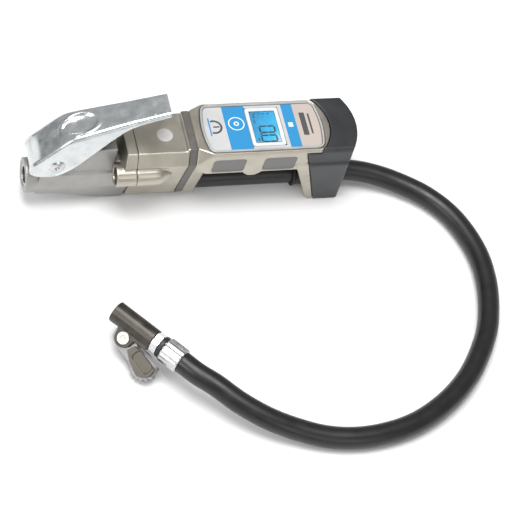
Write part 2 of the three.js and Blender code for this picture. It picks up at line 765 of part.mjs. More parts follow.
const coverLength = BATTERY_LENGTH + 8;
const coverStart = cavityStart + 6;
const coverHalf = 12;
const coverThick = 1.8;
const coverOpening = box(
  coverStart + 4,
  coverStart + coverLength - 4,
  -coverHalf + 2,
  coverHalf - 2,
  BELLY_HEIGHT - 5,
  cavityFloor + 1,
);
const coverSeat = box(
  coverStart,
  coverStart + coverLength,
  -coverHalf,
  coverHalf,
  BELLY_HEIGHT - 5,
  BELLY_HEIGHT + coverThick,
);

const wireHole = wire(
  [
    [tailSpace - 4, 0, 43],
    [tailSpace + 4, 0, 44],
    [bandEnd, 0, 47],
    [cavityStart + 4, 0, 49.5],
  ],
  2.4,
  10,
  8,
);
// The sleeve's lip stands against the leg's sloping front face.
const flangeRadius = sleeveRadius + SLEEVE_FLANGE;
const legRun = (LEG_LEFT_TOP - LEG_LEFT_LOW) / (BELLY_HEIGHT - LEG_CHAMFER);
const legFace = BODY_LENGTH - LEG_LEFT_TOP + legRun * (BELLY_HEIGHT - HOSE_BORE_HEIGHT - flangeRadius);
const sleeveStart = legFace - FIT - SLEEVE_LIP;

const housingBlank = joined(
  envelope(0).subtract(bootSpace(bootGap)),
  envelope(-BOOT_WALL - FIT).intersect(bootSpace(bootGap + 2)),
  valveEnd,
  bossesBehindSeam,
  bandCore,
  bulkheadBlock,
  flare,
  ridge,
);
piece(
  "rear_housing",
  satinNickel,
  cut(
    housingBlank,
    alongX(shield(HOUSING_WALL), seam - 1, tailSpace),
    rod([tailSpace - 1, 0, HOSE_BORE_HEIGHT], X, hoseHole, displayStart + 2 - tailSpace, 24),
    rod([displayStart + 30, 0, HOSE_BORE_HEIGHT], X, sleeveRadius + FIT, 120, 24),
    alongZ(bezelOutline(-FIT), ledgeHeight, BODY_HEIGHT + 2),
    box(cavityStart, cavityEnd - 4, -cavityHalf, cavityHalf, cavityFloor, BODY_HEIGHT),
    wireHole,
    coverOpening,
    coverSeat,
    ...panelCuts,
    ...sides.map((side) => rod([seam - 1, side * BOSS_SIDE, BOSS_HEIGHT], X, 2.3, 14, 16)),
  ),
);

const bandShape = alongX(shield(0, BODY_HEIGHT - 0.6), bandStart + FIT, bandEnd - FIT).subtract(
  alongX(shield(BAND_DEPTH - FIT, BODY_HEIGHT), bandStart - 1, bandEnd + 1),
);
piece("groove_band", bandGrey, bandShape);

piece(
  "end_boot",
  bootRubber,
  cut(
    envelope(BOOT_PROUD).intersect(bootSpace(0)),
    envelope(-BOOT_WALL),
    rod([BODY_LENGTH - 45, 0, HOSE_BORE_HEIGHT], X, hoseHole, 60, 24),
    rod([sleeveStart, 0, HOSE_BORE_HEIGHT], X, sleeveRadius + FIT, SLEEVE_LENGTH + FIT, 24),
  ),
);

// ---- Battery cover --------------------------------------------------------------------------

const coverReach = coverHalf - FIT;
piece(
  "battery_cover",
  satinNickel,
  joined(
    box(
      coverStart + FIT,
      coverStart + coverLength - FIT,
      -coverReach,
      coverReach,
      BELLY_HEIGHT,
      BELLY_HEIGHT + coverThick - FIT,
    ),
    ridge.intersect(box(coverStart, BODY_LENGTH, -coverReach, coverReach, 0, BELLY_HEIGHT + 0.5)),
  ),
);

// ---- Display stack -------------------------------------------------------------------------

const windowMiddle = (bezelStart + bezelEnd) / 2 + WINDOW_SHIFT;
const windowBox = (grow, low, high) =>
  box(
    windowMiddle - WINDOW_LENGTH / 2 - grow,
    windowMiddle + WINDOW_LENGTH / 2 + grow,
    -WINDOW_WIDTH / 2 - grow,
    WINDOW_WIDTH / 2 + grow,
    low,
    high,
  );
piece(
  "display_bezel",
  clearGrey,
  alongZ(bezelOutline(0), bezelFloor, bezelTop).subtract(
    alongZ(bezelOutline(BEZEL_RIM), bezelFloor - 1, bezelTop + 1),
  ),
);
piece(
  "label_plate",
  labelFilm,
  alongZ(bezelOutline(BEZEL_RIM + FIT), bezelFloor - LABEL_THICK, bezelTop - 0.8).subtract(
    windowBox(FRAME_RIM + FIT, 0, BODY_HEIGHT + 5),
  ),
);
piece(
  "window_frame",
  framePlastic,
  windowBox(FRAME_RIM, bezelFloor - LABEL_THICK, bezelTop - 0.2).subtract(
    windowBox(0, 0, BODY_HEIGHT + 5),
  ),
);
piece("window_pane", clearGrey, windowBox(-FIT, bezelTop - 1.8, bezelTop - 0.6));

const lcdTop = bezelTop - 2.2;
piece("lcd_panel", lcdBlue, windowBox(-FIT, lcdTop - LCD_THICK, lcdTop));

const boardTop = lcdTop - LCD_THICK - 2 * FIT;
const boardStart = cavityStart + 1.5;
const boardEnd = cavityEnd - 5.5;
piece(
  "circuit_board",
  boardGreen,
  box(boardStart, boardEnd, -cavityHalf + 1, cavityHalf - 1, boardTop - BOARD_THICK, boardTop),
);

const batteryHeight = cavityFloor + BATTERY_RADIUS + FIT;
const batteryMiddle = coverStart + coverLength / 2;
for (const side of sides) {
  const near = side < 0 ? "near" : "far";
  const start = [batteryMiddle - BATTERY_LENGTH / 2, side * (BATTERY_RADIUS + 0.6), batteryHeight];
  piece(
    `battery_${near}`,
    batterySleeve,
    turned(
      [
        [0, 0],
        [BATTERY_RADIUS, 0],
        [BATTERY_RADIUS, BATTERY_LENGTH - 1],
        [2, BATTERY_LENGTH - 1],
        [2, BATTERY_LENGTH],
        [0, BATTERY_LENGTH],
      ],
      start,
      X,
      20,
    ),
  );
}
for (const [name, x] of [
  ["battery_contact_front", batteryMiddle - BATTERY_LENGTH / 2 - FIT - CONTACT_THICK],
  ["battery_contact_rear", batteryMiddle + BATTERY_LENGTH / 2 + FIT],
]) {
  piece(
    name,
    steel,
    box(x, x + CONTACT_THICK, -10, 10, cavityFloor + FIT, cavityFloor + 9),
  );
}

// ---- Pressure sensor and its lead ----------------------------------------------------------

const sensorStart = seam + TONGUE + FIT;
piece(
  "pressure_sensor",
  steel,
  turned(
    [[0, 0], [6, 0], [6, 7], [3, 7], [3, 8.6], [0, 8.6]],
    [sensorStart, 0, 36],
    X,
    20,
  ),
);
piece(
  "sensor_lead",
  blackPlastic,
  wire(
    [
      [sensorStart + 9.6, 0, 37],
      [sensorStart + 12, 0, 41.5],
      [tailSpace + 4, 0, 44],
      [bandEnd, 0, 47],
      [cavityStart + 4, 0, 49.5],
    ],
    1.3,
    14,
    6,
  ),
);

// ---- Hose, its tail piece and its guide sleeve ---------------------------------------------

piece(
  "hose_tail",
  brass,
  turned(
    [
      [0, hosePortX + 5],
      [4, hosePortX + 5],
      [4, seam + TONGUE + FIT],
      [6.4, seam + TONGUE + FIT],
      [6.4, seam + TONGUE + 6],
      [4.6, seam + TONGUE + 6],
      [5.4, HOSE_START - 8],
      [4.4, HOSE_START - FIT],
      [0, HOSE_START - FIT],
    ],
    [0, 0, HOSE_BORE_HEIGHT],
    X,
    20,
  ),
);

piece(
  "hose_sleeve",
  sealRubber,
  turned(
    [
      [HOSE_RADIUS + SLIDE, 0],
      [flangeRadius, 0],
      [flangeRadius, SLEEVE_LIP],
      [sleeveRadius, SLEEVE_LIP + 0.6],
      [sleeveRadius, SLEEVE_LENGTH],
      [HOSE_RADIUS + SLIDE, SLEEVE_LENGTH],
      [HOSE_RADIUS + SLIDE, 0],
    ],
    [sleeveStart, 0, HOSE_BORE_HEIGHT],
    X,
  ),
);

// Where the hose lies: straight through the body, round on the floor, and up to the connector.
const heading = THREE.MathUtils.degToRad(CONNECTOR_HEADING);
const hoseward = [Math.cos(heading), Math.sin(heading), 0];
const connectorLength = CHUCK_LENGTH + HEX_LENGTH + BAND_LENGTH + FERRULE_LENGTH;
const hoseEnd = (distance) =>
  CONNECTOR_AT.map((v, i) => v + (connectorLength + FIT + distance) * hoseward[i]);
const hoseRoute = [
  [HOSE_START, 0, 12],
  [130, 0, 12],
  [160, 0, 12],
  [190, 0, 12],
  [214, 0, 12],
  [231, -1, 11.6],
  [247, -5, 10.4],
  [263, -12, 8.8],
  [280, -23.5, 7.7],
  [293, -39, 7.3],
  [301, -57.5, 7.3],
  [305, -77, 7.3],
  [304.5, -97, 7.3],
  [300.5, -117, 7.3],
  [294, -135.5, 7.3],
  [284, -153, 7.3],
  [272, -169, 7.3],
  [258, -182.5, 7.3],
  [241.5, -194, 7.3],
  [224, -202.5, 7.3],
  [204.5, -207.5, 7.3],
  [184.5, -209, 7.3],
  [165, -206.5, 7.6],
  [146, -200.5, 9.6],
  [128, -193, 13.2],
  [111, -182.2, 17],
  [96.3, -169.4, 20.5],
  hoseEnd(12),
  hoseEnd(0),
];
piece("hose", hoseRubber, wire(hoseRoute, HOSE_RADIUS, HOSE_STEPS, HOSE_SIDES));

// ---- Clip-on connector ----------------------------------------------------------------------

connector.position.set(...CONNECTOR_AT);
connector.rotation.set(0, 0, heading, "ZYX");
const tilt = new THREE.Group();
tilt.rotation.x = THREE.MathUtils.degToRad(180 + CONNECTOR_ROLL);
connector.add(tilt);

const onConnector = (name, material, shape) => piece(name, material, shape, tilt);
const eye = [CLIP_PIN_X, CLIP_PIN_Y];
const across = [0, 0, 1];

const cheekOutline = [
  [7.4, 0],
  [CHUCK_LENGTH, 0],
  [CHUCK_LENGTH, CHUCK_RADIUS - 0.1],
  [22.2, 7.7],
  ...arc(...eye, CHEEK_RADIUS, 30, 180, 8),
];
const clipSlot = box(3.8, 26, 2.4, 24, -WEB_HALF - FIT, WEB_HALF + FIT);
onConnector(
  "chuck_body",
  chuckBronze,
  cut(
    rod([0, 0, 0], X, CHUCK_RADIUS, CHUCK_LENGTH, 28).add(
      alongZ(cheekOutline, -CHEEK_HALF, CHEEK_HALF),
    ),
    rod([-1, 0, 0], X, CHUCK_BORE, CHUCK_DEPTH + 1, 20),
    rod([CHUCK_DEPTH - 1, 0, 0], X, 1.8, CHUCK_LENGTH, 12),
    clipSlot,
    rod([...eye, -CHEEK_HALF - 1], across, CLIP_PIN_RADIUS + FIT, 2 * CHEEK_HALF + 2, 20),
  ),
);
onConnector(
  "chuck_seal",
  sealRubber,
  ring([CHUCK_DEPTH - 2.6, 0, 0], X, 1.8, CHUCK_BORE - FIT, 2.3, 20),
);
onConnector("valve_depressor", brass, rod([CHUCK_DEPTH - 5, 0, 0], X, 0.9, 9, 12));

onConnector(
  "clip_pin",
  framePlastic,
  turned(
    [
      [0, -CHEEK_HALF - 1.3],
      [CLIP_HEAD_RADIUS, -CHEEK_HALF - 1.3],
      [CLIP_HEAD_RADIUS, -CHEEK_HALF - FIT],
      [CLIP_PIN_RADIUS, -CHEEK_HALF - FIT],
      [CLIP_PIN_RADIUS, CHEEK_HALF + FIT],
      [CLIP_HEAD_RADIUS, CHEEK_HALF + FIT],
      [CLIP_HEAD_RADIUS, CHEEK_HALF + 1.3],
      [0, CHEEK_HALF + 1.3],
    ],
    [...eye, 0],
    across,
  ),
);

// The clip lever's web: a round eye about the pin, and a thumb end with teeth along its back.
const thumb = [35.5, 17.24];
const thumbRadius = 8.6;
const tooth = (i) => {
  const angle = 20 + (i * 135) / (CLIP_TEETH - 1);
  const [[u, v]] = arc(...thumb, thumbRadius, angle, angle, 1);
  return rod([u, v, -WEB_HALF], across, TOOTH_RADIUS, 2 * WEB_HALF, 8);
};
const webOutline = [
  ...arc(...eye, CLIP_EYE_RADIUS, 128, 204, 6),
  [4.9, 5],
  [4.9, 3.4],
  [5.9, 3.4],
  [6.3, 4.5],
  ...arc(...eye, CLIP_EYE_RADIUS - 2, 226, 262, 3),
  [21.5, 6.2],
  [26, 9.2],
  ...arc(...thumb, thumbRadius, -35, 150, 12),
];
const springSlot = rod([...eye, -1.5], across, 5, 3, 20);
const teeth = Array.from({ length: CLIP_TEETH }, (_, i) => tooth(i));
onConnector(
  "clip_web",
  steel,
  cut(
    joined(alongZ(webOutline, -WEB_HALF, WEB_HALF), ...teeth),
    springSlot,
    box(-10, CLIP_PIN_X, CLIP_PIN_Y - 5, CLIP_PIN_Y + 1, -1.5, 1.5),
    rod([...eye, -WEB_HALF - 1], across, CLIP_PIN_RADIUS + SLIDE, 2 * WEB_HALF + 2, 20),
  ),
);

// Two olive side plates of the clip lever, which start behind the cheeks.
const plateOutline = [
  [21.4, 14.3],
  [24.2, 9.6],
  [31.4, 9.9],
  [43.6, 14.4],
  ...arc(36.2, 16.64, 7.2, -10, 100, 8),
  [27.6, 19.84],
];
for (const side of sides) {
  const low = side < 0 ? -CHEEK_HALF : WEB_HALF + FIT;
  const high = side < 0 ? -WEB_HALF - FIT : CHEEK_HALF;
  const name = side < 0 ? "clip_plate_upper" : "clip_plate_lower";
  onConnector(name, clipOlive, alongZ(plateOutline, low, high));
}

const springTurns = 2;
const springPoints = Array.from({ length: springTurns * 10 + 1 }, (_, i) => {
  const angle = Math.PI + (2 * Math.PI * i) / 10;
  const height = -0.9 + (1.8 * i) / (springTurns * 10);
  return [eye[0] + 3.6 * Math.cos(angle), eye[1] + 3.6 * Math.sin(angle), height];
});
onConnector(
  "clip_spring",
  steel,
  wire([...springPoints, [eye[0] - 6, eye[1] - 1.5, 0.9], [eye[0] - 9.5, eye[1] - 3.4, 0.9]], 0.42, 30, 6),
);

const hexStart = CHUCK_LENGTH + FIT;
onConnector(
  "hex_coupling",
  steel,
  rod([hexStart, 0, 0], X, HEX_RADIUS, HEX_LENGTH - FIT, 6),
);
onConnector(
  "ferrule_band",
  blackPlastic,
  rod([hexStart + HEX_LENGTH, 0, 0], X, HOSE_RADIUS + 0.2, BAND_LENGTH - FIT, 24),
);
onConnector(
  "ferrule",
  steel,
  rod([hexStart + HEX_LENGTH + BAND_LENGTH, 0, 0], X, FERRULE_RADIUS, FERRULE_LENGTH - FIT, 24),
);

// ---- Frame: the origin is under the middle of everything but the hose and its connector -----

const cordNodes = new Set(["hose", ...tilt.children.map((mesh) => mesh.name)]);
body.updateMatrixWorld(true);
const bounds = new THREE.Box3();
body.traverse((mesh) => {
  if (mesh.isMesh && !cordNodes.has(mesh.name)) bounds.expandByObject(mesh, true);
});
const middle = bounds.getCenter(new THREE.Vector3());
body.position.set(-middle.x, -middle.y, -bounds.min.z);

const group = new THREE.Group();
group.add(body);

export default group;
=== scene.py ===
# %% [markdown]
# # A hand-held tyre inflator with a digital gauge
# The tool has a zinc casting with the air valves, a pressed thumb lever over it, a nickel-plated
# display housing with a rubber end boot, and a short hose with a clip-on connector. The packed
# solids give every place and size. Each step here gives one piece its real surface and finish.

# %% Load the fixed frame
import json
import math

import bmesh
import bpy
import numpy as np
from mathutils import Matrix, Vector


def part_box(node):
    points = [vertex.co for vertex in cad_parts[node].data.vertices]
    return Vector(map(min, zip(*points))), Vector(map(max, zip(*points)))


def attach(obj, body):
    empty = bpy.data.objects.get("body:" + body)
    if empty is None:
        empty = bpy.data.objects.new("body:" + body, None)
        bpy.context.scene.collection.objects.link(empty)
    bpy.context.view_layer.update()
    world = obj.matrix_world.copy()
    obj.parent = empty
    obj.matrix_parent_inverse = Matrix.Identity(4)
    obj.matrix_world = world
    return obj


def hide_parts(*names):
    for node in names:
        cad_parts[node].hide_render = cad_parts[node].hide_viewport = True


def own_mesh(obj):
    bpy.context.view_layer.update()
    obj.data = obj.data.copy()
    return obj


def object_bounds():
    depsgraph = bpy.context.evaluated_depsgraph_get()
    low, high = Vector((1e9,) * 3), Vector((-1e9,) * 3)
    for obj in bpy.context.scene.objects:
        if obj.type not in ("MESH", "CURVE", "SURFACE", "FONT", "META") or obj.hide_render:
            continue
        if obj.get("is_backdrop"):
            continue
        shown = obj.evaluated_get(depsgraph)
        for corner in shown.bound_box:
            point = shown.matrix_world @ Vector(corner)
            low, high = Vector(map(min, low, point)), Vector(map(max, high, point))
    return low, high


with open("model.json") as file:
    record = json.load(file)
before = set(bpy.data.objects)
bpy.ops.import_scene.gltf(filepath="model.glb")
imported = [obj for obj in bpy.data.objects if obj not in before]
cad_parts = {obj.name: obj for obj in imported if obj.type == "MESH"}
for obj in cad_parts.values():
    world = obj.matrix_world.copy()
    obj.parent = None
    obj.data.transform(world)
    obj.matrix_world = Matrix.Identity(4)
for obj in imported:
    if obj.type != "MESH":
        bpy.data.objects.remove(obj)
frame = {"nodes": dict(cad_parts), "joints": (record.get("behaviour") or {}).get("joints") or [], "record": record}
cad_box = [list(corner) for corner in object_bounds()]

# %% [markdown]
# A maker dimensions this tool in millimetres from the air inlet's face. The helper below turns
# such points into metres in the shared frame, so that every later cell can speak in the maker's
# numbers. The inlet's face is the casting's lowest X.

# %% Units and places
MM = 0.001
INLET = np.array([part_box("valve_casting")[0].x, 0.0, 0.0])


def place(points):
    """Millimetres from the inlet's face, the middle plane and the floor, as metres in the frame."""
    return np.asarray(points, float) * MM + INLET


print("inlet face at x =", round(float(INLET[0]), 5))

# %% [markdown]
# ## Small shader tools
# A material is a tree of nodes, and most nodes here do one of three things: a sum, a change of
# range, or a mix of two colours. Each function below adds such a node and gives back its output.
# An argument may be a plain value, which is set on the socket, or another node's output.

# %% Node helpers
def feed(tree, socket, value):
    """Links an output to the socket, or sets the plain value on it; a colour gets alpha 1."""
    if isinstance(value, bpy.types.NodeSocket):
        tree.links.new(value, socket)
    else:
        socket.default_value = (*value, 1) if isinstance(value, tuple) and len(value) == 3 else value


def node(tree, kind, **values):
    """A new node of that kind with its input sockets set by name."""
    made = tree.nodes.new(kind)
    for label, value in values.items():
        made.inputs[label].default_value = value
    return made


def maths(tree, operation, *values):
    """The operation's result on the values, in order."""
    made = tree.nodes.new("ShaderNodeMath")
    made.operation = operation
    for socket, value in zip(made.inputs, values):
        feed(tree, socket, value)
    return made.outputs[0]


def ranged(tree, value, start=(0.0, 1.0), end=(0.0, 1.0)):
    """end[0] + (value - start[0]) / (start[1] - start[0]) * (end[1] - end[0]), clamped."""
    made = tree.nodes.new("ShaderNodeMapRange")
    for label, number in zip(("From Min", "From Max", "To Min", "To Max"), (*start, *end)):
        made.inputs[label].default_value = number
    tree.links.new(value, made.inputs["Value"])
    return made.outputs["Result"]


def mixed(tree, factor, first, second):
    """Colour = first * (1 - factor) + second * factor."""
    made = tree.nodes.new("ShaderNodeMix")
    made.data_type = "RGBA"
    for label, value in (("Factor", factor), ("A", first), ("B", second)):
        feed(tree, made.inputs[label], value)
    return made.outputs["Result"]


def object_axes(tree):
    """Object coordinates X, Y and Z as three sockets."""
    coords = tree.nodes.new("ShaderNodeTexCoord")
    split = tree.nodes.new("ShaderNodeSeparateXYZ")
    tree.links.new(coords.outputs["Object"], split.inputs[0])
    return split.outputs


print("node helpers ready")

# %% [markdown]
# ## Camera
# A long lens from well above and in front of the tool shows the display and the near side with
# little perspective. The camera's axes are given as vectors, because that says the tilt plainly.
# The plain view transform keeps a white floor white and the metals' contrast full.

# %% Camera
CAMERA_AT = Vector((-0.37655, -0.8576, 1.1634))
CAMERA_RIGHT = Vector((0.957, -0.212, 0.1979)).normalized()
CAMERA_AHEAD = Vector((0.2837, 0.5424, -0.7908)).normalized()
camera_up = CAMERA_RIGHT.cross(CAMERA_AHEAD).normalized()
camera_data = bpy.data.cameras.new("camera")
camera_data.lens = 154.69
camera_data.sensor_width = 36
camera_data.clip_start = 0.05
camera = bpy.data.objects.new("camera", camera_data)
turn = Matrix((CAMERA_RIGHT, camera_up, -CAMERA_AHEAD)).transposed()
camera.matrix_world = Matrix.Translation(CAMERA_AT) @ turn.to_4x4()
bpy.context.collection.objects.link(camera)
bpy.context.scene.camera = camera
bpy.context.scene.view_settings.view_transform = "Standard"
print("camera looks", [round(v, 3) for v in CAMERA_AHEAD])

# %% [markdown]
# ## Floor and light
# The studio is a pale sweep: a soft grey sky that darkens below the horizon, one broad lamp above
# and weaker ones from the left and the front, so that plated metal has bright sheets to mirror and
# dark gaps between them.

# %% Floor, sky and lamps
FLOOR_HALF, FLOOR_DROP = 3.0, 0.0006
floor_mesh = bpy.data.meshes.new("floor")
corners = [(-1, -1), (1, -1), (1, 1), (-1, 1)]
floor_points = [(x * FLOOR_HALF, y * FLOOR_HALF, -FLOOR_DROP) for x, y in corners]
floor_mesh.from_pydata(floor_points, [], [(0, 1, 2, 3)])
floor = bpy.data.objects.new("floor", floor_mesh)
bpy.context.collection.objects.link(floor)
floor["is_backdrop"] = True

world = bpy.data.worlds.new("studio")
world.use_nodes = True
bpy.context.scene.world = world
sky = world.node_tree.nodes
sky_links = world.node_tree.links
sky_ramp = sky.new("ShaderNodeValToRGB")
sky_ramp.color_ramp.elements[0].position = 0.42
sky_ramp.color_ramp.elements[0].color = (0.05, 0.052, 0.055, 1)
sky_ramp.color_ramp.elements[1].position = 0.62
sky_ramp.color_ramp.elements[1].color = (0.50, 0.50, 0.505, 1)
sky_split = sky.new("ShaderNodeSeparateXYZ")
sky_coords = sky.new("ShaderNodeTexCoord")
sky_links.new(sky_coords.outputs["Generated"], sky_split.inputs[0])
sky_height = maths(world.node_tree, "MULTIPLY_ADD", sky_split.outputs["Z"], 0.5, 0.5)
sky_links.new(sky_height, sky_ramp.inputs[0])
sky_links.new(sky_ramp.outputs[0], sky["Background"].inputs["Color"])
sky["Background"].inputs["Strength"].default_value = 1.0


def lamp(name, at, aim, size, power):
    """A square soft box of that side in metres at one point, turned to face another."""
    data = bpy.data.lights.new(name, "AREA")
    data.size = size
    data.energy = power
    light = bpy.data.objects.new(name, data)
    light.location = at
    light.rotation_euler = (Vector(aim) - Vector(at)).to_track_quat("-Z", "Y").to_euler()
    bpy.context.collection.objects.link(light)


lamp("lamp_above", (-0.2, -0.15, 1.75), (0.05, -0.05, 0), 1.0, 30)
lamp("lamp_left", (-1.3, -0.5, 0.9), (0, 0, 0.03), 0.7, 7)
lamp("lamp_front", (0.3, -1.5, 0.7), (0, 0, 0.03), 0.8, 3.5)

# %% [markdown]
# ## Effects that the finishes share
# Castings, plating, rubber and films all have a fine grain and a slow cloudiness, only at other
# sizes. One node group gives both from Object coordinates, so the pattern stays fixed to the piece.

# %% Node group: grain and cloud
def new_group(name, sockets):
    """A shader node group with the named inputs and outputs, each given as (name, in or out, kind)."""
    tree = bpy.data.node_groups.new(name, "ShaderNodeTree")
    for label, way, kind in sockets:
        tree.interface.new_socket(label, in_out=way, socket_type=kind)
    return tree, tree.nodes.new("NodeGroupInput"), tree.nodes.new("NodeGroupOutput")


grain_tree, grain_in, grain_out = new_group(
    "grain",
    [
        ("Vector", "INPUT", "NodeSocketVector"),
        ("Grain Scale", "INPUT", "NodeSocketFloat"),
        ("Cloud Scale", "INPUT", "NodeSocketFloat"),
        ("Grain", "OUTPUT", "NodeSocketFloat"),
        ("Cloud", "OUTPUT", "NodeSocketFloat"),
    ],
)
for label, detail in (("Grain", 3.0), ("Cloud", 4.0)):
    noise = node(grain_tree, "ShaderNodeTexNoise", Detail=detail)
    grain_tree.links.new(grain_in.outputs["Vector"], noise.inputs["Vector"])
    grain_tree.links.new(grain_in.outputs[f"{label} Scale"], noise.inputs["Scale"])
    spread = ranged(grain_tree, noise.outputs["Fac"], (0.3, 0.7))
    grain_tree.links.new(spread, grain_out.inputs[label])
print("group", grain_tree.name)

# %% [markdown]
# Handling polishes the edges of a plated or moulded piece. The corners get painted shade: a darker
# copy of the colour where the surface is concave. Cycles knows how sharply a surface bends at each
# point, and a noise breaks the masks up so that they do not look drawn.

# %% Node group: edge wear and painted shade
wear_shade_tree, wear_shade_in, wear_shade_out = new_group(
    "edge_wear_and_shade",
    [("Vector", "INPUT", "NodeSocketVector"), ("Amount", "INPUT", "NodeSocketFloat"),
     ("Wear", "OUTPUT", "NodeSocketFloat"), ("Painted Shade", "OUTPUT", "NodeSocketFloat")],
)
wear_shade_geometry = wear_shade_tree.nodes.new("ShaderNodeNewGeometry")
wear_shade_noise = node(wear_shade_tree, "ShaderNodeTexNoise", Scale=260)
wear_shade_tree.links.new(wear_shade_in.outputs["Vector"], wear_shade_noise.inputs["Vector"])
# The first mask is wear on convex edges; the second is painted shade in concave hollows.
for label, bend_range in (("Wear", (0.52, 0.62)), ("Painted Shade", (0.48, 0.38))):
    bend = ranged(wear_shade_tree, wear_shade_geometry.outputs["Pointiness"], bend_range)
    broken = maths(wear_shade_tree, "MULTIPLY", bend, wear_shade_noise.outputs["Fac"])
    scaled = maths(wear_shade_tree, "MULTIPLY", broken, wear_shade_in.outputs["Amount"])
    wear_shade_tree.links.new(scaled, wear_shade_out.inputs[label])
print("group", wear_shade_tree.name)

# %% [markdown]
# ## Finishes
# Nearly every finish is a base colour that drifts slowly to a second one, a roughness that the
# cloud changes, and a fine bump. One function wires that up, and each finish below is a
# line of plain values: colours are linear, sizes are the grain's real size in millimetres.

# %% A function for a finish
WEAR_AND_SHADE = 1.3
# Share of the base colour left in the painted shade of hollows.
SHADE_TONE = 0.35


def finish(name, base, second, rough, metal=0.0, grain=0.5, cloud=12.0, bump=0.1,
           rough_swing=0.12, stretch=(1, 1, 1), worn=None, coat=0.0):
    """Base Color = base mixed to second by the cloud, then to worn by the edge wear and to painted
    shade (a darker copy of base) in hollows; Roughness = rough - rough_swing / 2 plus rough_swing
    times the cloud; Normal = a bump of the grain, bump in tenths of a millimetre. stretch multiplies
    the coordinates, so a small factor draws the grain out."""
    material = bpy.data.materials.new(name)
    material.use_nodes = True
    tree = material.node_tree
    shader = tree.nodes["Principled BSDF"]
    shader.inputs["Metallic"].default_value = metal
    shader.inputs["Coat Weight"].default_value = coat
    coords = tree.nodes.new("ShaderNodeTexCoord")
    mapping = node(tree, "ShaderNodeMapping", Scale=stretch)
    tree.links.new(coords.outputs["Object"], mapping.inputs["Vector"])
    effect = tree.nodes.new("ShaderNodeGroup")
    effect.node_tree = grain_tree
    effect.inputs["Grain Scale"].default_value = 1 / (grain * MM)
    effect.inputs["Cloud Scale"].default_value = 1 / (cloud * MM)
    tree.links.new(mapping.outputs["Vector"], effect.inputs["Vector"])
    last = mixed(tree, effect.outputs["Cloud"], base, second)
    if worn:
        wear_and_shade = tree.nodes.new("ShaderNodeGroup")
        wear_and_shade.node_tree = wear_shade_tree
        wear_and_shade.inputs["Amount"].default_value = WEAR_AND_SHADE
        tree.links.new(coords.outputs["Object"], wear_and_shade.inputs["Vector"])
        # Worn edges get the wear colour; hollows get painted shade, a darker copy of the base colour.
        for label, tone in (("Wear", worn), ("Painted Shade", tuple(SHADE_TONE * c for c in base))):
            last = mixed(tree, wear_and_shade.outputs[label], last, tone)
    tree.links.new(last, shader.inputs["Base Color"])
    rough_ends = (rough - rough_swing / 2, rough + rough_swing / 2)
    swing = ranged(tree, effect.outputs["Cloud"], end=rough_ends)
    tree.links.new(swing, shader.inputs["Roughness"])
    if bump:
        relief = node(tree, "ShaderNodeBump", Strength=0.6, Distance=bump * 0.1 * MM)
        tree.links.new(effect.outputs["Grain"], relief.inputs["Height"])
        tree.links.new(relief.outputs["Normal"], shader.inputs["Normal"])
    return material


# %% [markdown]
# The metals: a blasted zinc casting with a sandy grain, a satin nickel housing with a warm tone, a
# bright zinc-plated lever with cloudy patches, turned steel and brass, and the connector's dark
# bronze and olive platings, whose edges rub bright.

# %% Metals
cast_zinc = finish("cast_zinc", (0.31, 0.305, 0.295), (0.38, 0.375, 0.36), 0.46, 0.88, grain=0.55,
                   cloud=9, bump=0.5, worn=(0.55, 0.54, 0.52))
satin_nickel = finish("satin_nickel", (0.40, 0.37, 0.31), (0.48, 0.45, 0.385), 0.33, 0.92, grain=0.35,
                      cloud=14, bump=0.16, worn=(0.6, 0.57, 0.5))
zinc_plate = finish("zinc_plate", (0.52, 0.56, 0.58), (0.66, 0.675, 0.665), 0.22, 0.97, grain=0.5,
                    cloud=7, bump=0.12, rough_swing=0.16, worn=(0.76, 0.78, 0.79))
bright_steel = finish("bright_steel", (0.50, 0.505, 0.51), (0.60, 0.60, 0.60), 0.24, 1.0, grain=0.3,
                      cloud=5, bump=0.1, worn=(0.8, 0.8, 0.8))
web_steel = finish("web_steel", (0.23, 0.23, 0.232), (0.31, 0.31, 0.31), 0.38, 0.9, grain=0.3,
                   cloud=5, bump=0.3, worn=(0.62, 0.62, 0.63))
brass = finish("brass", (0.55, 0.41, 0.17), (0.62, 0.48, 0.22), 0.3, 1.0, grain=0.3, cloud=6)
chuck_bronze = finish("chuck_bronze", (0.05, 0.046, 0.04), (0.085, 0.078, 0.068), 0.36, 0.8, grain=0.4,
                      cloud=6, bump=0.3, worn=(0.25, 0.22, 0.18))
clip_olive = finish("clip_olive", (0.105, 0.097, 0.08), (0.145, 0.134, 0.112), 0.42, 0.7, grain=0.35,
                    cloud=7, bump=0.35, worn=(0.36, 0.32, 0.25))
pin_nickel = finish("pin_nickel", (0.66, 0.64, 0.55), (0.74, 0.73, 0.65), 0.34, 0.7, grain=0.4, cloud=3)
print("metals made")

# %% [markdown]
# Rubber and plastics: the boot is a satin charcoal moulding, the hose a smooth black cover with a
# slight shine, the housing band a darker grey that is painted shade of its groove, and the bezel a
# clear-grey polished moulding.

# %% Rubber and plastics
boot_rubber = finish("boot_rubber", (0.015, 0.0165, 0.0185), (0.024, 0.026, 0.029), 0.42, grain=0.4,
                     cloud=15, bump=0.35, worn=(0.085, 0.09, 0.1))
hose_rubber = finish("hose_rubber", (0.0035, 0.0035, 0.0038), (0.006, 0.006, 0.0064), 0.38, grain=0.7,
                     cloud=8, bump=0.2, rough_swing=0.14)
seal_rubber = finish("seal_rubber", (0.012, 0.012, 0.013), (0.02, 0.02, 0.021), 0.55, grain=0.5)
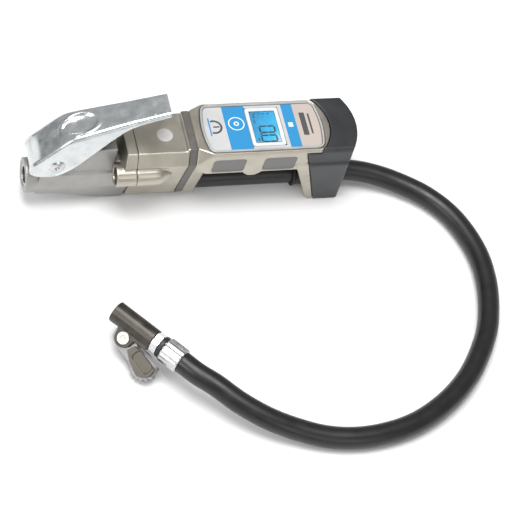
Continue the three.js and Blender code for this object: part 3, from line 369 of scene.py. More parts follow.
# A darker grey for the housing band: painted shade of the groove it sits in.
band_grey = finish("band_grey", (0.11, 0.105, 0.094), (0.145, 0.138, 0.126), 0.5, 0.35, grain=0.4,
                   cloud=6, bump=0.3)
clear_grey = finish("clear_grey", (0.33, 0.33, 0.325), (0.41, 0.415, 0.415), 0.12, grain=1.5, cloud=9,
                    bump=0.02, rough_swing=0.05, coat=0.6)
frame_white = finish("frame_white", (0.60, 0.63, 0.66), (0.72, 0.74, 0.76), 0.12, grain=1.0, cloud=6,
                     bump=0.02, rough_swing=0.05, coat=0.5)
black_plastic = finish("black_plastic", (0.008, 0.008, 0.0085), (0.015, 0.015, 0.016), 0.4, grain=0.3)
board_green = finish("board_green", (0.012, 0.06, 0.022), (0.02, 0.085, 0.03), 0.45, grain=1.2, cloud=4)
sleeve_print = finish("sleeve_print", (0.015, 0.04, 0.11), (0.02, 0.055, 0.14), 0.3, grain=2, cloud=9)
floor_paint = finish("floor_paint", (0.88, 0.88, 0.88), (0.90, 0.90, 0.90), 0.75, grain=4, cloud=300,
                     bump=0.0)
floor_mesh.materials.append(floor_paint)
print("materials", len(bpy.data.materials))

# %% [markdown]
# ## Helpers for surfaces
# A surface is a grid of points worked out as one array. The next function joins neighbouring
# points into faces, closing the grid in either direction where the shape comes round to itself.

# %% From a grid of points to a piece
def grid_faces(rows, columns, close_rows=False, close_columns=False):
    """Faces between each row and the next: (i, j), (i+1, j), (i+1, j+1), (i, j+1), with the index
    taken round where a direction closes."""
    i, j = np.meshgrid(np.arange(rows - (not close_rows)), np.arange(columns - (not close_columns)),
                       indexing="ij")
    i2, j2 = (i + 1) % rows, (j + 1) % columns
    loops = (i * columns + j, i2 * columns + j, i2 * columns + j2, i * columns + j2)
    return np.stack(loops, axis=-1).reshape(-1, 4)


def made_object(name, vertices, faces, merge=1e-6):
    """A smooth-shaded mesh object at the origin, with doubled points merged and faces pointing out."""
    mesh = bpy.data.meshes.new(name)
    mesh.from_pydata(np.asarray(vertices, float).tolist(), [], [list(map(int, f)) for f in faces])
    return tidied(name, mesh, merge)


def tidied(name, mesh, merge=1e-6, sharp=math.radians(32)):
    """Merges doubled points, turns the faces outwards, shades smooth but for edges past sharp."""
    shape = bmesh.new()
    shape.from_mesh(mesh)
    bmesh.ops.remove_doubles(shape, verts=shape.verts, dist=merge)
    bmesh.ops.dissolve_degenerate(shape, edges=shape.edges, dist=merge)
    bmesh.ops.recalc_face_normals(shape, faces=shape.faces)
    for edge in shape.edges:
        edge.smooth = len(edge.link_faces) == 2 and edge.calc_face_angle(0) < sharp
    for face in shape.faces:
        face.smooth = True
    shape.to_mesh(mesh)
    shape.free()
    piece = bpy.data.objects.new(name, mesh)
    bpy.context.collection.objects.link(piece)
    return piece


def settle(piece, body, slot, material, *nodes):
    """Gives a piece its material, body and the solids it stands for; slot is not used."""
    piece.data.materials.clear()
    piece.data.materials.append(material)
    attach(piece, body)
    if nodes:
        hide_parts(*nodes)
    return piece


def add_bevel(piece, width, segments=2, angle=32):
    """Rounds every edge that bends past the angle, by a width in millimetres."""
    bevel = piece.modifiers.new("bevel", "BEVEL")
    bevel.width = width * MM
    bevel.segments = segments
    bevel.limit_method = "ANGLE"
    bevel.angle_limit = math.radians(angle)
    bevel.harden_normals = True
    return piece


# %% [markdown]
# A turned piece is a profile spun round an axis. The profile is a list of (radius, distance along
# the axis); a cosine added to the radius makes flutes, as on a crimped ferrule.

# %% Turned pieces
def axes_of(axis):
    """Two directions square to the axis and to each other."""
    axis = np.asarray(axis, float) / np.linalg.norm(axis)
    helper = np.array([0, 0, 1.0]) if abs(axis[2]) < 0.9 else np.array([1.0, 0, 0])
    side = np.cross(helper, axis)
    side /= np.linalg.norm(side)
    return axis, side, np.cross(axis, side)


def turned(name, profile, origin, axis, segments=64, flutes=0, depth=0.0):
    """Point = origin + along * axis + radius * (cos t * side + sin t * up), with the radius less
    depth * (1 - cos(flutes * t)) / 2 where it is the outside of a fluted piece."""
    profile = np.asarray(profile, float) * MM
    axis, side, up = axes_of(axis)
    t = np.linspace(0, 2 * math.pi, segments, endpoint=False)
    radius = profile[:, :1] * np.ones_like(t)
    if flutes:
        outer = (profile[:, :1] > profile[:, 0].max() * 0.93).astype(float)
        radius = radius - outer * depth * MM * (1 - np.cos(flutes * t)) / 2
    ring = np.cos(t)[None, :, None] * side + np.sin(t)[None, :, None] * up
    points = np.asarray(origin) + profile[:, 1:2, None] * axis + radius[..., None] * ring
    return made_object(name, points.reshape(-1, 3), grid_faces(len(profile), segments, False, True))


def rounded_profile(corners, radius, steps=4):
    """The corner points of a profile with each inner corner cut by an arc, given as a quadratic
    curve from one side to the other; the first and last points stay."""
    corners = np.asarray(corners, float)
    out = [corners[0]]
    t = np.linspace(0, 1, steps + 1)[:, None]
    for before, corner, after in zip(corners[:-2], corners[1:-1], corners[2:]):
        reach = [min(radius, 0.45 * np.linalg.norm(p - corner)) for p in (before, after)]
        a = corner + (before - corner) / np.linalg.norm(before - corner) * reach[0]
        b = corner + (after - corner) / np.linalg.norm(after - corner) * reach[1]
        out.extend((1 - t) ** 2 * a + 2 * t * (1 - t) * corner + t**2 * b)
    return np.array(out + [corners[-1]])


# %% [markdown]
# A cast or moulded piece has no sharp edge anywhere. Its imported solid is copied, remade as an even
# skin of small faces and relaxed, which rounds each edge by about the skin's own step; flat
# stretches are then thinned out again.

# %% Softened copies of cast and moulded solids
def softened(name, source, step, passes, keep=1.0):
    """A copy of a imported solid: doubles merged, remade in cells of step millimetres, each point
    moved halfway to its neighbours' mean in each pass, and the faces thinned to the share kept."""
    piece = tidied(name + "_work", frame["nodes"][source].data.copy(), 1e-6)
    remesh = piece.modifiers.new("remesh", "REMESH")
    remesh.mode = "VOXEL"
    remesh.voxel_size = step * MM
    relax = piece.modifiers.new("relax", "SMOOTH")
    relax.factor = 0.5
    relax.iterations = passes
    if keep < 1:
        thin = piece.modifiers.new("thin", "DECIMATE")
        thin.ratio = keep
    graph = bpy.context.evaluated_depsgraph_get()
    mesh = bpy.data.meshes.new_from_object(piece.evaluated_get(graph))
    mesh.name = name
    bpy.data.objects.remove(piece)
    mesh.shade_smooth()
    result = bpy.data.objects.new(name, mesh)
    bpy.context.collection.objects.link(result)
    print(name, len(mesh.polygons), "faces")
    return result


# %% [markdown]
# ## Hose
# A 14.5 mm rubber air hose leaves the valve block, runs under the display housing, turns round on
# the floor and rises to the connector. It is one tube along a smooth curve through chosen points;
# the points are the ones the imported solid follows, so the two lie together.

# %% The hose's route
HOSE_RADIUS = 7.25
hose_points = [
    (98, 0, 12), (130, 0, 12), (160, 0, 12), (190, 0, 12), (214, 0, 12), (231, -1, 11.6),
    (247, -5, 10.4), (263, -12, 8.8), (280, -23.5, 7.7), (293, -39, 7.3), (301, -57.5, 7.3),
    (305, -77, 7.3), (304.5, -97, 7.3), (300.5, -117, 7.3), (294, -135.5, 7.3), (284, -153, 7.3),
    (272, -169, 7.3), (258, -182.5, 7.3), (241.5, -194, 7.3), (224, -202.5, 7.3),
    (204.5, -207.5, 7.3), (184.5, -209, 7.3), (165, -206.5, 7.6), (146, -200.5, 9.6),
    (128, -193, 13.2), (111, -182.2, 17), (96.3, -169.4, 20.5), (86.27, -161.17, 21.7),
    (78.52, -152.01, 21.7),
]


def smooth_path(points, per_span=16):
    """Centripetal Catmull-Rom curve: between two points, lines to the neighbours are blended by
    spans that grow with the square root of the distance; a mirrored point goes past each end."""
    p = np.asarray(points, float)
    p = np.vstack([2 * p[0] - p[1], p, 2 * p[-1] - p[-2]])
    a, b, c, d = p[:-3], p[1:-2], p[2:-1], p[3:]
    gaps = [np.sqrt(np.linalg.norm(v - u, axis=1))[:, None, None] for u, v in ((a, b), (b, c), (c, d))]
    t1 = gaps[0]
    t2 = t1 + gaps[1]
    t3 = t2 + gaps[2]
    t = t1 + (t2 - t1) * np.linspace(0, 1, per_span, endpoint=False)[None, :, None]
    a, b, c, d = (v[:, None, :] for v in (a, b, c, d))
    ab = (t1 - t) / t1 * a + t / t1 * b
    bc = (t2 - t) / (t2 - t1) * b + (t - t1) / (t2 - t1) * c
    cd = (t3 - t) / (t3 - t2) * c + (t - t2) / (t3 - t2) * d
    abc = (t2 - t) / t2 * ab + t / t2 * bc
    bcd = (t3 - t) / (t3 - t1) * bc + (t - t1) / (t3 - t1) * cd
    curve = (t2 - t) / (t2 - t1) * abc + (t - t1) / (t2 - t1) * bcd
    return np.vstack([curve.reshape(-1, 3), p[-2]])


hose_line = place(smooth_path(hose_points))

# %% [markdown]
# A tube needs a ring at each point of the line, square to it. Keeping every ring's first direction
# in the plane of the floor's normal stops it twisting, which the hose's almost flat route allows.

# %% The hose
HOSE_SIDES = 32


def tube(name, line, radius, sides):
    """Ring point = line + radius * (cos t * side + sin t * up); side is square to the line and to
    Z, up is square to both. Both ends are closed by a short dome of two smaller rings."""
    ahead = np.gradient(line, axis=0)
    ahead /= np.linalg.norm(ahead, axis=1)[:, None]
    side = np.cross(ahead, [0, 0, 1.0])
    side /= np.linalg.norm(side, axis=1)[:, None]
    up = np.cross(side, ahead)
    t = np.linspace(0, 2 * math.pi, sides, endpoint=False)
    ring = np.cos(t)[None, :, None] * side[:, None] + np.sin(t)[None, :, None] * up[:, None]
    points = line[:, None] + radius * ring
    ends = []
    for end, way in ((0, -1), (-1, 1)):
        edge = line[end] + 0.93 * radius * ring[end] + 0.02 * radius * way * ahead[end]
        ends.append(np.stack([np.repeat(line[end : end + 1 or None], sides, 0), edge]))
    points = np.vstack([ends[0], points, ends[1][::-1]])
    return made_object(name, points.reshape(-1, 3), grid_faces(len(points), sides, False, True))


hose_tube = tube("hose_tube", hose_line, HOSE_RADIUS * MM, HOSE_SIDES)
settle(hose_tube, "housing", "hose_rubber", hose_rubber, "hose")
print("hose faces", len(hose_tube.data.polygons))

# %% [markdown]
# ## Lever
# The lever is one piece of 1.6 mm steel sheet: a thumb plate, a kink, a curled front apron, and a
# flange folded down each side to carry the pin. Its side view gives two lines, the plate's top and
# the flange's lower edge. Each row below pairs a point on one with a point on the other, and gives
# the half width there.

# %% The lever's control rows
SHEET = 1.6
FOLD_RADIUS = 3.0
lever_rows = np.array([
    # plate x, plate z, edge x, edge z, half width
    (0.7, 41.4, 1.4, 40.4, 12.6),
    (0.7, 45.3, 3.6, 39.3, 13.1),
    (2.2, 48.9, 6.6, 38.5, 13.25),
    (7.2, 54.5, 10.6, 38.0, 13.25),
    (14.6, 62.9, 15.6, 37.7, 13.2),
    (19.5, 68.4, 19.5, 38.4, 13.0),
    (24.2, 72.6, 24.0, 40.6, 12.7),
    (30.5, 75.1, 30.6, 45.9, 12.4),
    (38.0, 77.5, 38.2, 54.6, 11.9),
    (45.6, 79.9, 45.6, 63.0, 11.4),
    (52.0, 81.9, 52.6, 71.2, 11.0),
    (59.0, 84.0, 59.6, 78.8, 10.6),
    (68.0, 86.7, 68.4, 83.4, 10.1),
    (78.0, 89.6, 78.2, 86.4, 9.6),
    (87.7, 92.4, 87.7, 89.4, 9.3),
])


def softened_rows(rows, passes=3):
    """Corner cutting: each pass replaces a stretch by its quarter and three-quarter points, which
    tends to a smooth curve; the first and last rows stay."""
    for _ in range(passes):
        cut = np.stack([0.75 * rows[:-1] + 0.25 * rows[1:], 0.25 * rows[:-1] + 0.75 * rows[1:]], axis=1)
        rows = np.vstack([rows[:1], cut.reshape(-1, rows.shape[1])[1:-1], rows[-1:]])
    return rows


rows = softened_rows(lever_rows)
print("lever rows", len(rows))

# %% [markdown]
# Across the lever the section is a channel: half the plate, a fold, and a flange. The fraction v
# runs from 0 at the middle to 1 at the flange's edge, and the two halves mirror. The thumb dish is
# half an ellipsoid, pushed down inside a low rim. Small ridges cross the plate near its tip, and its
# front corner dips at the middle.

# %% The lever's surface
PLATE_STEPS, FOLD_STEPS, FLANGE_STEPS = 34, 8, 22
FRONT_DIP = 1.6
DISH = {"x": 31.5, "y": 0.0, "half_x": 10.9, "half_y": 7.7, "depth": 2.3}


def smooth_step(t):
    """0 below 0, 1 above 1, and 3t^2 - 2t^3 between."""
    t = np.clip(t, 0, 1)
    return t * t * (3 - 2 * t)


def lever_half(rows, sign):
    """Plate: y from 0 to half - r at no depth. Fold: y = half - r + r sin f, depth = r - r cos f.
    Flange: y = half, depth from r to the edge. Depth runs from the plate point to the edge point."""
    top, edge, half = rows[:, None, 0:2], rows[:, None, 2:4], rows[:, None, 4]
    reach = np.linalg.norm(edge - top, axis=2)
    fold = np.minimum(FOLD_RADIUS, 0.8 * reach)
    plate = np.linspace(0, 1, PLATE_STEPS)[None, :]
    bend = np.linspace(0, math.pi / 2, FOLD_STEPS)[None, 1:-1]
    flange = np.linspace(0, 1, FLANGE_STEPS)[None, :]
    y = np.hstack([plate * (half - fold), half - fold + fold * np.sin(bend), half + 0 * flange])
    depth = np.hstack([0 * plate * half, fold - fold * np.cos(bend), fold + (reach - fold) * flange])
    spot = top + (edge - top) * (depth / reach)[..., None]
    return np.stack([spot[..., 0], sign * y, spot[..., 1]], axis=-1)


near, far = lever_half(rows, -1), lever_half(rows, 1)
outer = np.concatenate([near[:, ::-1], far[:, 1:]], axis=1)
across, along = outer[..., 1], outer[..., 0]
oval = np.hypot((along - DISH["x"]) / DISH["half_x"], (across - DISH["y"]) / DISH["half_y"])
on_plate = np.abs(across) < rows[:, None, 4] - FOLD_RADIUS
sunk = DISH["depth"] * np.sqrt(np.clip(1.0 - oval**2, 0, 1))
lip = 0.45 * np.exp(-(((oval - 1.12) / 0.12) ** 2))
ridges = sum(0.22 * np.exp(-(((along - x) / 0.55) ** 2)) for x in (70.5, 74.0, 77.5))
outer[..., 2] += on_plate * (lip - sunk + ridges)
crown = (1 - (across / rows[:, None, 4]) ** 2) * on_plate
front_dip = FRONT_DIP * np.exp(-(((along - 2.2) / 3.0) ** 2)) * crown
outer[..., 0] += 0.74 * front_dip
outer[..., 2] -= 0.67 * front_dip
relief = 0.75 * smooth_step(1.6 - np.hypot((along - 28.5) / 4.6, (outer[..., 2] - 53.5) / 5.2) * 1.2)
relief += 0.5 * smooth_step(1.6 - np.hypot((along - 33.0) / 4.0, (outer[..., 2] - 61.5) / 4.4) * 1.2)
outer[..., 1] -= np.sign(across) * ~on_plate * relief
print("lever grid", outer.shape)

# %% [markdown]
# The sheet gets its thickness by moving a copy of the surface inwards along its normals and joining
# the two round all four sides; a small bevel then takes the sheared edge off.

# %% From surface to sheet
def sheet_piece(name, outer, thickness):
    """Inner point = outer point - thickness * normal, where the normal is the cross product of the
    grid's two directions, turned to point away from the sheet's hollow."""
    normal = np.cross(np.gradient(outer, axis=0), np.gradient(outer, axis=1))
    normal /= np.linalg.norm(normal, axis=2)[..., None]
    normal *= np.sign(normal[len(outer) // 2, outer.shape[1] // 2, 2])
    shell = np.concatenate([outer, (outer - thickness * normal)[:, ::-1]], axis=1)
    count, loop = shell.shape[:2]
    j = np.arange(outer.shape[1] - 1)
    caps = [np.stack([base + j, base + j + 1, base + loop - 2 - j, base + loop - 1 - j], axis=1)
            for base in (0, (count - 1) * loop)]
    faces = np.vstack([grid_faces(count, loop, False, True), *caps])
    return made_object(name, place(shell.reshape(-1, 3)), faces)


lever_sheet = sheet_piece("lever_sheet", outer, SHEET)
add_bevel(lever_sheet, 0.35, angle=60)
settle(lever_sheet, "lever", "zinc_plate", zinc_plate, "lever")
print("lever faces", len(lever_sheet.data.polygons))

# %% [markdown]
# The pin is a rivet through both flanges. Each head is a low dome with a round-bottomed hole, left
# by the tool that spread it.

# %% Lever pin
PIN_RADIUS, PIN_HEAD_RADIUS = 2.6, 5.4
pin_low, pin_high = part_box("lever_pin")
pin_middle = [(pin_low.x + pin_high.x) / 2, 0, (pin_low.z + pin_high.z) / 2]
pin_end = pin_high.y / MM
head_dome = [(0, pin_end - 1.5), (1.3, pin_end - 1.5), (1.6, pin_end - 0.2), (2.3, pin_end),
             (3.9, pin_end - 0.5), (PIN_HEAD_RADIUS, pin_end - 1.5), (PIN_HEAD_RADIUS, pin_end - 1.8),
             (PIN_RADIUS, pin_end - 1.8)]
half_pin = rounded_profile(head_dome, 0.5)
pin_profile = np.vstack([half_pin, (half_pin * [1, -1])[::-1]])
rivet = turned("rivet", pin_profile, pin_middle, (0, 1, 0), 48)
settle(rivet, "housing", "steel", bright_steel, "lever_pin")
print("pin length", round(2 * pin_end, 1), "mm")

# %% [markdown]
# ## Castings and mouldings
# The valve casting is zinc, blasted matt. The collar and the rear housing are the same process with
# a satin nickel plating, and the boot is moulded rubber. All four are softened copies of their
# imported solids, because their shapes are right and only their edges are too sharp.

# %% Casting, collar, housing, band and boot
for name, source, slot, material, step, passes, keep in (
    ("casting_skin", "valve_casting", "cast_zinc", cast_zinc, 0.5, 5, 0.5),
    ("collar_skin", "front_collar", "satin_nickel", satin_nickel, 0.42, 4, 0.6),
    # The band's dark grey is painted shade of the housing's groove.
    ("band_skin", "groove_band", "band_grey", band_grey, 0.35, 3, 0.6),
    ("boot_skin", "end_boot", "boot_rubber", boot_rubber, 0.55, 5, 0.6),
):
    settle(softened(name, source, step, passes, keep), "housing", slot, material, source)

# %% [markdown]
# The housing's recessed side panels are left matt grey. Their mask works in Object coordinates:
# between the panels' ends and heights, off the middle ridge, and deeper than the leaning wall.

# %% Housing with its grey side panels
PANEL_SPANS = ((120.1, 143.05), (155.05, 178.0))
PANEL_Z = (42.0, 57.2)
WALL_SLOPE = 0.0833
WALL_FACE = 16.37


def within(tree, value, low, high):
    """1 where low < value < high, as the product of two comparisons."""
    above = maths(tree, "GREATER_THAN", value, low)
    below = maths(tree, "LESS_THAN", value, high)
    return maths(tree, "MULTIPLY", above, below)


def combine(tree, operation, *values):
    """The values folded together, two at a time, by a Math node's operation."""
    result = values[0]
    for value in values[1:]:
        result = maths(tree, operation, result, value)
    return result


def paint_over(material, mask, colour, rough=None):
    """Mixes the Base Color, and the Roughness if given, to new values where the mask is 1."""
    tree = material.node_tree
    shader = tree.nodes["Principled BSDF"]
    before = shader.inputs["Base Color"].links[0].from_socket
    tree.links.new(mixed(tree, mask, before, colour), shader.inputs["Base Color"])
    if rough is not None:
        change = node(tree, "ShaderNodeMix", B=rough)
        tree.links.new(mask, change.inputs["Factor"])
        tree.links.new(shader.inputs["Roughness"].links[0].from_socket, change.inputs["A"])
        tree.links.new(change.outputs["Result"], shader.inputs["Roughness"])


housing_metal = satin_nickel.copy()
housing_metal.name = "housing_metal"
panel_tree = housing_metal.node_tree
panel_axes = object_axes(panel_tree)
shift = float(INLET[0])
side_way = maths(panel_tree, "ABSOLUTE", panel_axes["Y"])
leaning = maths(panel_tree, "MULTIPLY_ADD", panel_axes["Z"], -WALL_SLOPE, side_way)
spans = [within(panel_tree, panel_axes["X"], low * MM + shift, high * MM + shift)
         for low, high in PANEL_SPANS]
on_panel = combine(
    panel_tree, "MULTIPLY",
    combine(panel_tree, "MAXIMUM", *spans),
    within(panel_tree, panel_axes["Z"], PANEL_Z[0] * MM, PANEL_Z[1] * MM),
    within(panel_tree, leaning, -1.0, WALL_FACE * MM),
)
paint_over(housing_metal, on_panel, (0.20, 0.2, 0.198), 0.5)
housing_skin = softened("housing_skin", "rear_housing", 0.55, 4, 0.45)
settle(housing_skin, "housing", "satin_nickel", housing_metal, "rear_housing")

# %% [markdown]
# ## Display
# The bezel is a clear-grey moulding round a printed film. In the film's middle a white frame with a
# sloping inner face holds the window, and behind it glows the liquid-crystal display.

# %% Bezel and label film
bezel_ring = softened("bezel_ring", "display_bezel", 0.25, 4, 0.7)
settle(bezel_ring, "housing", "clear_grey", clear_grey, "display_bezel")
label_low, label_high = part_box("label_plate")
print("film", [round(v / MM, 1) for v in label_high - label_low], "mm")

# %% [markdown]
# The film is light grey with two blue bands and a warm grey end. A plain ring on the first band, a
# small dial mark and two dark bars stand where a maker would print names.

# %% Printed film
film = finish("printed_film", (0.47, 0.475, 0.48), (0.53, 0.53, 0.53), 0.24, grain=1.5, cloud=10,
              bump=0.01, rough_swing=0.05, coat=0.4)
film_tree = film.node_tree
film_axes = object_axes(film_tree)
BLUE = (0.02, 0.24, 0.50)
WARM = (0.47, 0.405, 0.36)
INK = (0.07, 0.07, 0.072)
PAPER = (0.70, 0.80, 0.86)


def bar(low_x, high_x, low_y, high_y):
    """1 inside a rectangle given in millimetres in the frame."""
    return combine(film_tree, "MULTIPLY", within(film_tree, film_axes["X"], low_x * MM, high_x * MM),
                   within(film_tree, film_axes["Y"], low_y * MM, high_y * MM))


def from_point(x, y):
    """The distance in metres from a point given in millimetres in the frame."""
    flat = film_tree.nodes.new("ShaderNodeCombineXYZ")
    film_tree.links.new(film_axes["X"], flat.inputs["X"])
    film_tree.links.new(film_axes["Y"], flat.inputs["Y"])
    gap = film_tree.nodes.new("ShaderNodeVectorMath")
    gap.operation = "DISTANCE"
    gap.inputs[1].default_value = (x * MM, y * MM, 0)
    film_tree.links.new(flat.outputs[0], gap.inputs[0])
    return gap.outputs["Value"]


def ring_mark(x, y, radius, width):
    """1 on a ring of that middle radius and width."""
    return within(film_tree, from_point(x, y), (radius - width / 2) * MM, (radius + width / 2) * MM)


dial = combine(film_tree, "MULTIPLY", ring_mark(12.4, 1.5, 5.0, 1.5), bar(10.6, 30, -30, 30))
for mask, tone in (
    (bar(69.2, 120, -30, 30), WARM),
    (bar(20.4, 35.9, -30, 30), BLUE),
    (bar(61.4, 69.2, -30, 30), BLUE),
    (ring_mark(28.1, 3.5, 5.2, 0.7), PAPER),
    (ring_mark(28.1, 3.5, 1.4, 0.8), PAPER),
    (dial, INK),
    (bar(11.8, 16.2, 0.9, 2.1), INK),
    (bar(9.0, 10.0, -6.0, 9.0), BLUE),
    (bar(63.6, 66.8, -1.0, 2.6), PAPER),
    (bar(72.6, 76.4, -8.5, 10.5), INK),
    (bar(78.2, 79.5, -7.5, 9.5), INK),
):
    paint_over(film, mask, tone)
label_film = tidied("label_film", frame["nodes"]["label_plate"].data.copy())
add_bevel(label_film, 0.25)
settle(label_film, "housing", "label_film", film, "label_plate")

# %% [markdown]
# The window's frame is a loft: a rounded rectangle drawn at several sizes and heights, up the
# outside, over the rim, down the sloping inner face, and back underneath.

# %% Window frame
def rounded_rectangle(centre, half, corner, steps=8):
    """Four quarter circles of that radius, joined by straight sides, anticlockwise."""
    t = np.linspace(0, math.pi / 2, steps)
    quarter = np.stack([np.cos(t), np.sin(t)], axis=1) * corner
    out = []
    for k, (sx, sy) in enumerate(((1, 1), (-1, 1), (-1, -1), (1, -1))):
        c, s = round(math.cos(k * math.pi / 2)), round(math.sin(k * math.pi / 2))
        spun = quarter @ np.array([[c, s], [-s, c]])
        out.append(spun + [sx * (half[0] - corner), sy * (half[1] - corner)])
    return np.vstack(out) + centre


def loft(name, centre, levels, closed=True):
    """One closed outline per level (half x, half y, corner, z in millimetres), joined in order and
    back to the first."""
    rings = [np.column_stack([rounded_rectangle(centre, (hx, hy), corner), np.full(32, z)])
             for hx, hy, corner, z in levels]
    points = np.array(rings)
    faces = grid_faces(len(rings), 32, closed, True).tolist()
    if not closed:
        faces += [list(range(32))[::-1], list(range((len(rings) - 1) * 32, len(rings) * 32))]
    return made_object(name, points.reshape(-1, 3) * MM, faces)


frame_low, frame_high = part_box("window_frame")
window_centre = [(frame_low.x + frame_high.x) / 2 / MM, 0]
rim_x, rim_y = (frame_high.x - frame_low.x) / 2 / MM, frame_high.y / MM
open_x, open_y = rim_x - 2.6, rim_y - 2.6
low_z, high_z = frame_low.z / MM, frame_high.z / MM
window_rim = loft("window_rim", window_centre, [
    (rim_x, rim_y, 1.8, low_z),
    (rim_x, rim_y, 1.8, high_z - 0.6),
    (rim_x - 0.3, rim_y - 0.3, 1.6, high_z - 0.15),
    (rim_x - 0.8, rim_y - 0.8, 1.4, high_z),
    (open_x + 0.9, open_y + 0.9, 1.0, high_z),
    (open_x + 0.5, open_y + 0.5, 0.8, high_z - 0.15),
    (open_x, open_y, 0.5, high_z - 0.45),
    (open_x, open_y, 0.5, low_z),
])
settle(window_rim, "housing", "frame_plastic", frame_white, "window_frame")

# %% [markdown]
# The window is polished clear plastic: a plain glass shader with almost no roughness, and a slight
# bevel so that its edge catches the light.

# %% Window
window_clear = bpy.data.materials.new("window_clear")
window_clear.use_nodes = True
glass = window_clear.node_tree.nodes["Principled BSDF"]
glass.inputs["Transmission Weight"].default_value = 1.0
glass.inputs["IOR"].default_value = 1.46
glass_tree = window_clear.node_tree
glass_noise = node(glass_tree, "ShaderNodeTexNoise", Scale=420)
glass_coords = glass_tree.nodes.new("ShaderNodeTexCoord")
glass_tree.links.new(glass_coords.outputs["Object"], glass_noise.inputs["Vector"])
glass_haze = ranged(glass_tree, glass_noise.outputs["Fac"], end=(0.01, 0.045))
glass_tint = mixed(glass_tree, glass_noise.outputs["Fac"], (0.93, 0.97, 0.98), (0.97, 0.99, 1.0))
glass_tree.links.new(glass_haze, glass.inputs["Roughness"])
glass_tree.links.new(glass_tint, glass.inputs["Base Color"])
window = tidied("window", frame["nodes"]["window_pane"].data.copy())
add_bevel(window, 0.2)
settle(window, "housing", "window_clear", window_clear, "window_pane")

# %% [markdown]
# The display is backlit, brightest at the corner where its lamp sits. Emission carries the glow: a
# ramp along a slanted direction, from deep blue through cyan to a pale hot spot.

# %% Backlit display
lcd_low, lcd_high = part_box("lcd_panel")
lcd_glow = finish("lcd_glow", (0.01, 0.17, 0.33), (0.012, 0.19, 0.36), 0.25, grain=0.8, bump=0.0)
glow_tree = lcd_glow.node_tree
glow_axes = object_axes(glow_tree)
GLOW_LEAN = 0.55
across_glow = maths(glow_tree, "MULTIPLY_ADD", glow_axes["Y"], -GLOW_LEAN, glow_axes["X"])
glow_ends = (lcd_low.x - GLOW_LEAN * lcd_high.y, lcd_high.x + GLOW_LEAN * lcd_high.y)
slope = ranged(glow_tree, across_glow, glow_ends)
ramp = glow_tree.nodes.new("ShaderNodeValToRGB")
for place_on_ramp, tone in ((0.0, (0.012, 0.20, 0.42, 1)), (0.45, (0.02, 0.36, 0.66, 1)),
                            (0.8, (0.05, 0.62, 0.88, 1)), (1.0, (0.03, 0.40, 0.68, 1))):
    stop = ramp.color_ramp.elements.new(place_on_ramp)
    stop.color = tone
ramp.color_ramp.elements.remove(ramp.color_ramp.elements[0])
ramp.color_ramp.elements.remove(ramp.color_ramp.elements[-1])
glow_tree.links.new(slope, ramp.inputs[0])
glow_shader = glow_tree.nodes["Principled BSDF"]
glow_tree.links.new(ramp.outputs[0], glow_shader.inputs["Emission Color"])
glow_shader.inputs["Emission Strength"].default_value = 0.75
lcd_glass = tidied("lcd_glass", frame["nodes"]["lcd_panel"].data.copy())
add_bevel(lcd_glass, 0.15)
settle(lcd_glass, "housing", "lcd", lcd_glow, "lcd_panel")

# %% [markdown]
# A digit is seven thin bars. A table says which bars each digit lights, and one loop lays them. The
# reading runs across the tool, so that it is upright when the inlet points down.

# %% Digits on the display
SEGMENTS = {0: "abcdef", 1: "bc", 2: "abged", 3: "abgcd", 4: "fgbc", 5: "afgcd"}
DIGIT_TALL, DIGIT_WIDE, DIGIT_STROKE, DIGIT_THICK = 10.2, 5.2, 1.1, 0.1
bar_places = {
    # bar: (along the digit's height, across it, lies across)
    "a": (1.0, 0.0, True), "g": (0.0, 0.0, True), "d": (-1.0, 0.0, True),
    "f": (0.5, -1.0, False), "b": (0.5, 1.0, False), "e": (-0.5, -1.0, False), "c": (-0.5, 1.0, False),
}


def slab(x, y, half_x, half_y, z, thick=DIGIT_THICK):
    """The eight corners of a thin block, in millimetres, round its middle."""
    signs = np.array([(i, j, k) for k in (0, 1) for j in (-1, 1) for i in (-1, 1)], float)
    return signs * [half_x, half_y, thick] + [x, y, z]


def digit(value, x, y, z):
    """The blocks of one digit whose up is +X and whose right is -Y."""
    blocks = []
    for name in SEGMENTS[value]:
        up, right, lies = bar_places[name]
        long = DIGIT_WIDE / 2 - 0.55 if lies else DIGIT_TALL / 4 - 0.3
        half = (DIGIT_STROKE / 2, long) if lies else (long, DIGIT_STROKE / 2)
        blocks.append(slab(x + up * DIGIT_TALL / 2, y - right * DIGIT_WIDE / 2, *half, z))
    return blocks


digit_z = lcd_high.z / MM + 0.02
digit_x = window_centre[0] + 1.2
blocks = digit(0, digit_x, -1.6, digit_z) + digit(0, digit_x, -9.2, digit_z)
blocks.append(slab(digit_x - DIGIT_TALL / 2, -5.4, 0.5, 0.5, digit_z))
blocks += [slab(digit_x - 7.2, y, 0.35, 1.3, digit_z) for y in (9.6, 5.0, -9.6)]
blocks += [slab(window_centre[0] - 2 + k * 3.2, 11.6, 0.9, 0.3, digit_z) for k in range(-1, 3)]
box_faces = np.array([(0, 2, 3, 1), (4, 5, 7, 6), (0, 1, 5, 4), (2, 6, 7, 3), (0, 4, 6, 2),
                      (1, 3, 7, 5)])
all_faces = (box_faces[None] + 8 * np.arange(len(blocks))[:, None, None]).reshape(-1, 4)
lcd_ink = finish("lcd_ink", (0.006, 0.035, 0.055), (0.01, 0.045, 0.07), 0.4, grain=0.4, bump=0.0)
lcd_digits = made_object("lcd_digits", np.vstack(blocks) * MM, all_faces)
settle(lcd_digits, "housing", "lcd", lcd_ink)
print("display bars", len(blocks))

# %% [markdown]
# ## Small pieces on the body
# A plain round sticker lies on the collar behind the lever. The inlet bush, the screws and the rest
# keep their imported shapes, with a bevel where they show.

